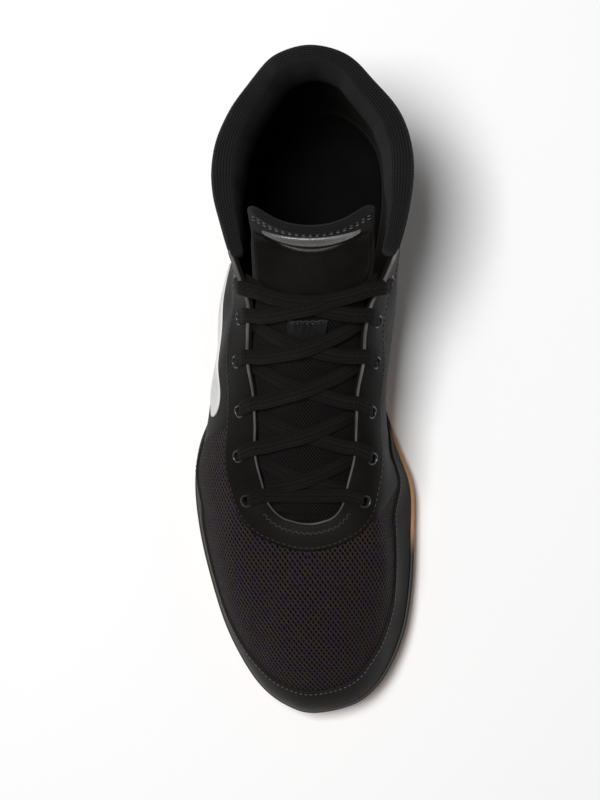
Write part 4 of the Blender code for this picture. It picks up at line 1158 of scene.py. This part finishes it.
# crown is a share of TONGUE_CROWN, half of TONGUE_WIDTH, and its thickness is
# body * TONGUE_THICKNESS + pad * TONGUE_PAD.
TONGUE_COLUMNS = ("station", "crown", "half", "body", "pad")
TONGUE_TABLE = (
    (0, 0.00, 0.20, 0.75, 0.00),
    (2, 0.08, 0.29, 0.85, 0.00),
    (5, 0.35, 0.42, 1.00, 0.00),
    (8, 0.60, 0.47, 1.00, 0.00),
    (11, 0.80, 0.51, 1.00, 0.00),
    (14, 1.00, 0.49, 0.00, 1.00),
)


def tongue_value(station, name):
    table = dict(zip(TONGUE_COLUMNS, np.array(TONGUE_TABLE).T))
    return np.interp(station, table["station"], table[name])


def throat_frame(station):
    """Seats of the tongue under the throat's two edges, and the way up out of the throat between them."""
    fine = np.linspace(1.0, FREE_STATION, 90)
    edge = from_top(fine, EDGE_INSET)[:, None]
    under = -(WALL + SOFT_GAP)
    medial = skin(fine, edge, under)[:, 0]
    lateral = skin(ROUND_SHOE - fine, edge, under)[:, 0]
    normal = unit(np.cross(medial - lateral, np.gradient((medial + lateral) / 2, axis=0)))
    return tuple(read_along(station, fine, points) for points in (medial, lateral, normal))


def crown(station):
    """Height of the tongue's back above the straight line between the throat's edges."""
    return TONGUE_CROWN * tongue_value(station, "crown")


def tongue_half(station):
    """Half the tongue's width over its own surface: past the throat's edges, narrower at the collar."""
    return TONGUE_WIDTH * tongue_value(station, "half")


def softened(grid, passes):
    """The grid's inner points drawn towards the mean of their four neighbours, a few times over."""
    for _ in range(passes):
        middle = (grid[:-2, 1:-1] + grid[2:, 1:-1] + grid[1:-1, :-2] + grid[1:-1, 2:]) / 4
        grid = grid.copy()
        grid[1:-1, 1:-1] = 0.5 * grid[1:-1, 1:-1] + 0.5 * middle
    return grid


def tongue_rows(station):
    """The tongue's top face: an arch between the throat's edges, c = crown * (1 - |s|^2.4), with its wings
    lying under the walls, read at even places over its own width."""
    free = np.clip(station - FREE_STATION, 0, None)
    held = np.minimum(station, FREE_STATION)
    medial, lateral, normal = throat_frame(held)
    wing = np.tile(np.linspace(TONGUE_WIDTH / 2, WALL, 15), (len(held), 1))

    def side(at):
        return skin(at, 1 - wing / rib_length(at)[:, None], -(WALL + SOFT_GAP))

    sweep = np.linspace(-1, 1, 41)
    bridge = (
        lateral[:, None] + (medial - lateral)[:, None] * ((sweep + 1) / 2)[None, :, None]
        + normal[:, None] * (crown(held)[:, None] * (1 - np.abs(sweep) ** ARCH_POWER))[:, :, None]
    )
    line = np.concatenate([side(ROUND_SHOE - held), bridge, side(held)[:, ::-1]], axis=1)
    run = way_along(line, axis=1)
    middle = run[:, wing.shape[1] + len(sweep) // 2]
    wanted = middle[:, None] + tongue_half(held)[:, None] * PLACES
    apart = np.arange(len(held))[:, None]
    wanted = np.clip(wanted, 0, run[:, -1:]) + apart
    points = np.stack(
        [np.interp(wanted, (run + apart).ravel(), line[..., axis].ravel()) for axis in range(3)], axis=-1
    )
    return points + (free * TONGUE_RISE)[:, None, None] * FREE_LEAN


TONGUE_GRID = softened(tongue_rows(TONGUE_FINE), 6)
curl = np.clip((TONGUE_FINE - TONGUE_CURL_FROM) / (TONGUE_END - TONGUE_CURL_FROM), 0, 1) ** 2
TONGUE_GRID[..., 1] += TONGUE_CURL * curl[:, None] * PLACES**2
TONGUE_NORMALS = unit(np.cross(np.gradient(TONGUE_GRID, axis=1), np.gradient(TONGUE_GRID, axis=0)))


def on_tongue(station, place, out=0.0):
    """Points on the tongue's top face raised by out. place is -1 at the lateral edge, 1 at the medial one."""
    station, place, out = np.broadcast_arrays(station, place, out)
    row = np.interp(station, TONGUE_FINE, np.arange(len(TONGUE_FINE)))
    side = np.interp(place, PLACES, np.arange(len(PLACES)))
    i = np.clip(row.astype(int), 0, len(TONGUE_FINE) - 2)
    j = np.clip(side.astype(int), 0, len(PLACES) - 2)
    u, v = (row - i)[..., None], (side - j)[..., None]
    corners = ((0, 0, (1 - u) * (1 - v)), (1, 0, u * (1 - v)), (0, 1, (1 - u) * v), (1, 1, u * v))
    return sum(
        weight * (TONGUE_GRID[i + di, j + dj] + out[..., None] * TONGUE_NORMALS[i + di, j + dj])
        for di, dj, weight in corners
    )


# The free end, in stations: its dip in the middle, its round corners, the roll of its edge, where the foam
# thins, where mesh gives way to knit, the bound edge, and its rows of stitches with their depth in metres
END_DIP = 0.38
END_CORNER = 0.32
ROLL = 0.24
END_THINNER, THINNER_FROM, THINNER_OVER = 0.36, 13.9, 0.7
KNIT_FROM = 12.1
BOUND_EDGE = 14.70
SEWN_ROWS = ((14.46, 0.0003), (14.57, 0.0004))


def to_end(station, place):
    """Stations drawn back towards the toe, most at the free end: its dip and its round corners."""
    share = np.clip((station - FREE_STATION) / (TONGUE_END - FREE_STATION), 0, 1)
    return station - share * (END_DIP * (1 - place**2) + END_CORNER * np.abs(place) ** 10)


rounding = 1 - np.sin(np.linspace(0.05, 1, 18) * math.pi / 2)
station = np.concatenate([np.linspace(1.0, TONGUE_END - 0.02 - ROLL, 130), TONGUE_END - ROLL * rounding])
place = np.sin(np.linspace(-1, 1, 60) * math.pi / 2)
edge_round = np.sqrt(np.clip(1 - np.abs(place) ** 8, 0, 1))[None, :]
thick = TONGUE_THICKNESS * tongue_value(station, "body") + TONGUE_PAD * tongue_value(station, "pad")
thick *= 1 - END_THINNER * np.clip((station - THINNER_FROM) / THINNER_OVER, 0, 1)
end_round = np.sqrt(1 - np.clip((station - (TONGUE_END - ROLL)) / ROLL, 0, 1) ** 2)
depth = (thick * end_round)[:, None] * edge_round
sunk = 0.5 * (thick[:, None] - depth)
# Soft swells of the foam, and the bound edge standing out as a roll above two sunk rows of stitches
quilt = 0.0004 * np.sin(station * 5.0) * (station < 12)
quilt += 0.0008 * np.exp(-(((station - BOUND_EDGE) / 0.08) ** 2))
for sewn_at, sunk_by in SEWN_ROWS:
    quilt -= sunk_by * np.exp(-(((station - sewn_at) / 0.04) ** 2))
lying = to_end(station[:, None], place[None, :])
front = on_tongue(lying, place[None, :], -sunk + quilt[:, None] * edge_round)
back = on_tongue(lying, place[None, :], -sunk - depth)
around = np.concatenate([front, back[:, -2:0:-1]], axis=1)
run = way_along(front[:, len(place) // 2])
width = tongue_half(np.minimum(station, FREE_STATION))[:, None] * place
width = np.concatenate([width, width[:, -2:0:-1], width[:, :1]], axis=1)
tongue_place = np.stack([width, run[:, None] + 0 * width], axis=-1)
tongue_cloth, tree, shader, colour, rough, bumps = mesh_cloth(
    "tongue_mesh", 0.0015, (0.0008, 0.0007, 0.0007), (0.0062, 0.0050, 0.0050), (0.0075, 0.0057, 0.0038)
)
feed(tree, shader, Base_Color=colour, Roughness=rough)
relief(tree, shader, bumps, 0.85, 0.0005)
tongue_knit = knit_cloth("tongue_knit", 0.0010, (0.0030, 0.0028, 0.0028), (0.0115, 0.0108, 0.0108))
slots = np.zeros(around.shape[:2], dtype=int)
slots[station > KNIT_FROM] = 1
slots[:, len(place):] = 1
tongue = surface(
    "tongue_pad",
    [{"points": around, "place": tongue_place, "slots": slots, "columns_meet": True}],
    [tongue_cloth, tongue_knit], crease_angle=80,
)
seat_on(tongue, "tongue_mesh", "tongue")


def sewn_on_tongue(station, place, lift, pitch, length, radius):
    """A row of stitches over the tongue at a station, raised by lift, as a grid for surface."""
    path = on_tongue(station, place, lift)
    out = on_tongue(station, place, lift + WALL) - path
    return {"points": stitches(path, out, pitch, length, radius), "columns_meet": True}


# Two rows of stitches hold the binding below the free edge
place = np.linspace(-0.90, 0.90, 160)
rows = [
    sewn_on_tongue(to_end(sewn_at, place), place, -0.0003, pitch=0.0028, length=0.0018, radius=0.00027)
    for sewn_at, sunk_by in SEWN_ROWS
]
tongue_rows_sewn = surface("tongue_stitches", rows, [grey_thread])
seat_on(tongue_rows_sewn, "tongue_mesh")


# The tongue's label and tab
# A smooth patch, wide at its top and narrowing to a round lower end, pressed on the tongue. A glossy grey
# crescent covers its top edge. Both are plain.
LABEL_WIDTH = 0.0520
LABEL_LOW = 12.2
LABEL_HIGH = 13.72
TAB_WIDTH = 0.0430
TAB_HIGH = 14.15
TAB_END_DEPTH = 0.06
TAB_MIDDLE_DEPTH = 0.36
label_film = film_finish(
    "label_film", (0.0036, 0.0030, 0.0025), (0.0060, 0.0050, 0.0040), 0.34, 2200.0, shine=0.12
)
tab_film = film_finish("tab_film", (0.090, 0.086, 0.088), (0.20, 0.195, 0.197), 0.24, 2600.0, shine=0.6)


def laid_on_tongue(name, station, place, lifted, border, own, finish):
    """A thin piece on the tongue: its face raised by lifted, and a base let in that meets it at the border."""
    face = on_tongue(station, place, 0.0002 + lifted)
    base = on_tongue(station, place, 0.0002 - 0.0006 * (border > 0))
    grids = [{"points": points, "place": own} for points in (face, base)]
    return surface(name, grids, [finish], crease_angle=70)


def tongue_film(name, station, place, thickness, finish, edge=0.0008):
    """A thin piece on the tongue over a grid of stations and places, thinning to nothing at its border."""
    face = on_tongue(station, place, 0.0)
    down, over = way_along(face, axis=0), way_along(face, axis=1)
    border = np.minimum(np.minimum(down, down[-1:] - down), np.minimum(over, over[:, -1:] - over))
    lifted = thickness * quarter_round(border / edge)
    return laid_on_tongue(name, station, place, lifted, border, np.stack([over, down], axis=-1), finish)


share = np.linspace(0, 1, 60)[:, None] ** 1.6
half = LABEL_WIDTH / TONGUE_WIDTH * np.clip(1 - (1 - share) ** 4, 0.0001, 1) ** 0.5
station = LABEL_LOW + (LABEL_HIGH - LABEL_LOW) * share
place = half * np.linspace(-1, 1, 60)
# Its top edge follows the tab's lower one
follows = (TAB_MIDDLE_DEPTH - TAB_END_DEPTH) * np.clip((place * TONGUE_WIDTH / TAB_WIDTH) ** 2, 0, 1)
label = tongue_film("label_patch", station + follows * share**3, place, 0.5 * OVERLAY, label_film)
seat_on(label, "label_film", "tongue_label")

half = TAB_WIDTH / TONGUE_WIDTH
across = np.linspace(-half, half, 70)
deep = TAB_END_DEPTH + (TAB_MIDDLE_DEPTH - TAB_END_DEPTH) * (1 - (across / half) ** 2)
station = TAB_HIGH - deep * np.linspace(1, 0, 16)[:, None]
tab = tongue_film("crescent_tab", station, across, OVERLAY, tab_film)
seat_on(tab, "tab_film", "tongue_tab")


# The lace pocket
# A small elastic pocket across the tongue, gathered on two rows of stitches, that takes the ends of a bow.
POCKET_WIDTH = 0.0170
POCKET_THICKNESS = 0.0012
POCKET_LOW = 10.4
POCKET_HIGH = 11.7
POCKET_ROW_INSET = 0.12
half = POCKET_WIDTH / TONGUE_WIDTH
station = np.linspace(POCKET_LOW, POCKET_HIGH, 60)[:, None]
place = np.linspace(-half, half, 90)[None, :]
share = (station - station[0]) / (station[-1] - station[0])
# Gathers: waves across the pocket, strongest at its two rows of stitches
gather = np.sin(place / half * 17.0 + 0.8 * np.sin(place / half * 5.0))
gather = gather * (0.55 + 0.45 * np.cos(share * math.tau))
border = np.minimum(np.minimum(share, 1 - share) * 14, np.minimum(1 - place / half, 1 + place / half) * 9)
lifted = POCKET_THICKNESS * quarter_round(border) * (1 + 0.30 * gather)
flat_place = np.stack(np.broadcast_arrays(place * TONGUE_WIDTH, share * 0.028), axis=-1)
satin, tree, shader = new_finish("elastic", Specular_IOR_Level=0.25, Roughness=0.42, Anisotropic=0.4)
values = {"Vector": own_place(tree), "Scale": 330.0, "Distortion": 0.4}
cords = node(tree, "TexWave", values, bands_direction="X").outputs["Fac"]
# Painted shade: the colour follows the cords, dark between them and light on their tops
feed(tree, shader, Base_Color=blended(tree, cords, (0.003, 0.003, 0.0032), (0.012, 0.0115, 0.0115)))
relief(tree, shader, cords, 0.5, 0.0003)
pocket = laid_on_tongue("pocket_elastic", station, place, lifted, border, flat_place, satin)
seat_on(pocket, "elastic", "lace_garage")
place = np.linspace(-half * 0.92, half * 0.92, 40)
rows = [
    sewn_on_tongue(sewn_at, place, 0.0011, pitch=0.0022, length=0.0014, radius=0.0002)
    for sewn_at in (POCKET_LOW + POCKET_ROW_INSET, POCKET_HIGH - POCKET_ROW_INSET)
]
pocket_rows = surface("pocket_stitches", rows, [grey_thread])
seat_on(pocket_rows, "elastic")


# The lace
# One flat woven lace. It starts as a straight bar into the lowest eyelets, comes up through each eyelet,
# goes over the throat's edge, crosses the tongue and passes under the other edge to the next row.
LACE_WIDTH = 0.0066
LACE_THICKNESS = 0.0013
TOP_BAR_DROOP = 0.5
FILM_TOP = 0.0011
LACE_CLEAR = 0.0002
# How far past the throat's edge the lace starts to turn into its eyelet
LACE_TURN = 0.0052
# How wide the hump is where one run crosses over another, and how many stations the pocket lifts the lace over
CROSSING_REACH = 0.0075
POCKET_REACH = 0.9
# Where the lace passes from the tongue's arch to the wall, in shares of the throat's half width
WALL_FROM, WALL_OVER = 0.86, 0.2
LACE_SAMPLES = 81


def lace_run(first, second, starts_over, ends_over, lift, droop=0.0):
    """Centre line of one run from a medial row (share 0) to a lateral one (1), and how far it has turned in.

    Between the edges it lies on the tongue's arch; beyond them it is on or under the wall, and it turns
    down (or up) into the eyelet over the last few millimetres as a cube of the distance. droop is how many
    stations the middle of a slack bar sags towards the toe.
    """
    share = np.linspace(0, 1, LACE_SAMPLES)
    station = EYELET_STATIONS[first] + (EYELET_STATIONS[second] - EYELET_STATIONS[first]) * share
    station = station - droop * (1 - (2 * share - 1) ** 2)
    medial, lateral, normal = throat_frame(station)
    half = np.linalg.norm(medial - lateral, axis=1) / 2
    across = (1 - 2 * share) * (1 + EYELET_INSET / half)
    beyond = np.clip(np.abs(across) - 1, 0, None) * half
    over = np.where(across > 0, starts_over, ends_over).astype(bool)
    clear = LACE_THICKNESS / 2 + LACE_CLEAR
    on_wall = np.where(over, FILM_TOP + clear, -(WALL + clear))
    into = np.clip((beyond - LACE_TURN) / (EYELET_INSET - LACE_TURN), 0, 1)
    rise = on_wall + (-WALL / 2 - on_wall) * into**3
    at = np.where(across > 0, station, ROUND_SHOE - station)
    wall_share = from_top(at, np.maximum(beyond, EDGE_INSET))[:, None]
    on_skin = skin(at, wall_share, rise[:, None], folded=False)[:, 0]
    inside = np.clip(np.abs(across), 0, 1)
    at_edge = WALL + SOFT_GAP + on_wall
    on_pocket = np.exp(-(((station - (POCKET_LOW + POCKET_HIGH) / 2) / POCKET_REACH) ** 4))
    rest = crown(station) + LACE_THICKNESS / 2 + 2 * LACE_CLEAR + POCKET_THICKNESS * on_pocket
    arch_height = rest * (1 - inside**ARCH_POWER) + at_edge * inside**ARCH_POWER
    arch_height += lift * np.exp(-((across * half / CROSSING_REACH) ** 2))
    centre = lateral + (medial - lateral) * ((across + 1) / 2)[:, None] + normal * arch_height[:, None]
    use_wall = np.clip((np.abs(across) - WALL_FROM) / WALL_OVER, 0, 1)[:, None]
    return centre * (1 - use_wall) + on_skin * use_wall, into


settings = [(0, 0, True, True, 0.0, 0.0)]
for row_number in range(len(EYELET_STATIONS) - 1):
    comes_over = row_number > 0
    settings.append((row_number, row_number + 1, comes_over, False, 0.0, 0.0))
    settings.append((row_number + 1, row_number, False, comes_over, LACE_THICKNESS + 0.0003, 0.0))
last_row = len(EYELET_STATIONS) - 1
settings.append((last_row, last_row, True, True, 0.0008, TOP_BAR_DROOP))
runs, turned_in = (np.stack(parts) for parts in zip(*(lace_run(*setting) for setting in settings)))
wide = np.zeros_like(runs)
wide[..., 1], wide[..., 2] = 0.94, 0.34
# The lace gathers in its eyelets: narrower and thicker there
half_width = LACE_WIDTH / 2 * (1 - 0.42 * turned_in)
half_depth = LACE_THICKNESS / 2 * (1 + 0.35 * turned_in)
close = rounded_ends(LACE_SAMPLES, 2)
bands = swept(runs, wide, half_width * close, half_depth * close, sides=20, square=0.55)
over = np.abs(np.linspace(-1, 1, 21))[None, :] * LACE_WIDTH
place = np.stack(np.broadcast_arrays(way_along(runs[1])[:, None], over), axis=-1)

lace_weave, tree, shader = new_finish(
    "lace_weave", Roughness=0.72, Specular_IOR_Level=0.11, Sheen_Weight=0.01
)
flat = node(tree, "SeparateXYZ", {"Vector": own_place(tree)}).outputs
from_middle = sums(tree, "ABSOLUTE", sums(tree, "SUBTRACT", flat["Y"], LACE_WIDTH / 2))
slope = plus(tree, times(tree, flat["X"], 1150.0), times(tree, from_middle, 900.0))
picks = sums(tree, "ABSOLUTE", sums(tree, "SINE", times(tree, slope, math.pi)))
cords = sums(tree, "ABSOLUTE", sums(tree, "SINE", times(tree, flat["Y"], math.pi / 0.00078)))
woven = times(tree, sums(tree, "POWER", picks, 0.6), sums(tree, "POWER", cords, 0.5))
# Painted shade: the colour follows the weave, dark in its grooves and light on its ribs
feed(tree, shader, Base_Color=blended(tree, woven, (0.0012, 0.0010, 0.0009), (0.0082, 0.0072, 0.0064)))
relief(tree, shader, woven, 0.8, 0.0004)
grids = [{"points": bands, "place": place, "columns_meet": True}]
lace = surface("lace", grids, [lace_weave], crease_angle=80)
seat_on(lace, "lace_weave", "laces")


# The floor, the lights and the camera
# A plain pale sweep, one large soft light from the upper left of the picture, and the photograph's camera:
# 0.9 m above the floor and a little to the medial side, with the toe at the foot of the picture.
floor_finish, tree, shader = new_finish("pale_floor", Roughness=0.9, Specular_IOR_Level=0.1)
faint = cloudy(tree, object_place(tree), 900.0, 2.0)
feed(tree, shader, Base_Color=blended(tree, faint, (0.92, 0.92, 0.92), (0.94, 0.94, 0.94)))
corner = np.array([-1.0, 1.0]) * 4.0
ground = np.stack([*np.meshgrid(corner, corner), np.zeros((2, 2))], axis=-1)
floor = surface("floor", [{"points": ground}], [floor_finish])
if floor.data.polygons[0].normal.z < 0:
    floor.data.flip_normals()


def facing(place, aim):
    """The turn that points a thing's -Z axis from its place to the aim, and its +Y axis towards the heel."""
    back = unit(np.subtract(place, aim))
    right = unit(np.cross((0.0, 1.0, 0.0), back))
    return Matrix(np.stack([right, np.cross(back, right), back], axis=1).tolist()).to_euler()


def soft_light(name, place, aim, size, power):
    """A square area light that faces the point it is aimed at."""
    lamp = bpy.data.lights.new(name, "AREA")
    lamp.shape, lamp.size, lamp.energy = "SQUARE", size, power
    stand = bpy.data.objects.new(name, lamp)
    stand.location = place
    stand.rotation_euler = facing(place, aim)
    bpy.context.scene.collection.objects.link(stand)


SHOE_MIDDLE = (0.0, 0.0, 0.045)
CAMERA_PLACE = (0.0608, -0.0074, 0.900)
CAMERA_LENS = 84.0
KEY_PLACE = (-0.26, 0.15, 1.46)
# Light from all round, on the shoe and the floor. The camera sees the air as white.
AIR_LIGHT = 0.16
soft_light("key_light", KEY_PLACE, SHOE_MIDDLE, size=0.50, power=21.5)

world = bpy.data.worlds.new("studio")
bpy.context.scene.world = world
world.use_nodes = True
back = world.node_tree.nodes["Background"]
seen = world.node_tree.nodes.new("ShaderNodeLightPath").outputs["Is Camera Ray"]
world.node_tree.links.new(stepped(world.node_tree, seen, 0.0, 1.0, AIR_LIGHT, 1.0), back.inputs["Strength"])
back.inputs["Color"].default_value = (1.0, 1.0, 1.0, 1.0)

camera_data = bpy.data.cameras.new("camera")
camera_data.sensor_fit, camera_data.sensor_height, camera_data.sensor_width = "VERTICAL", 36.0, 36.0
camera_data.lens = CAMERA_LENS
camera = bpy.data.objects.new("camera", camera_data)
camera.location = CAMERA_PLACE
camera.rotation_euler = facing(CAMERA_PLACE, SHOE_MIDDLE)
bpy.context.scene.collection.objects.link(camera)
bpy.context.scene.camera = camera
bpy.context.scene.view_settings.view_transform = "Standard"
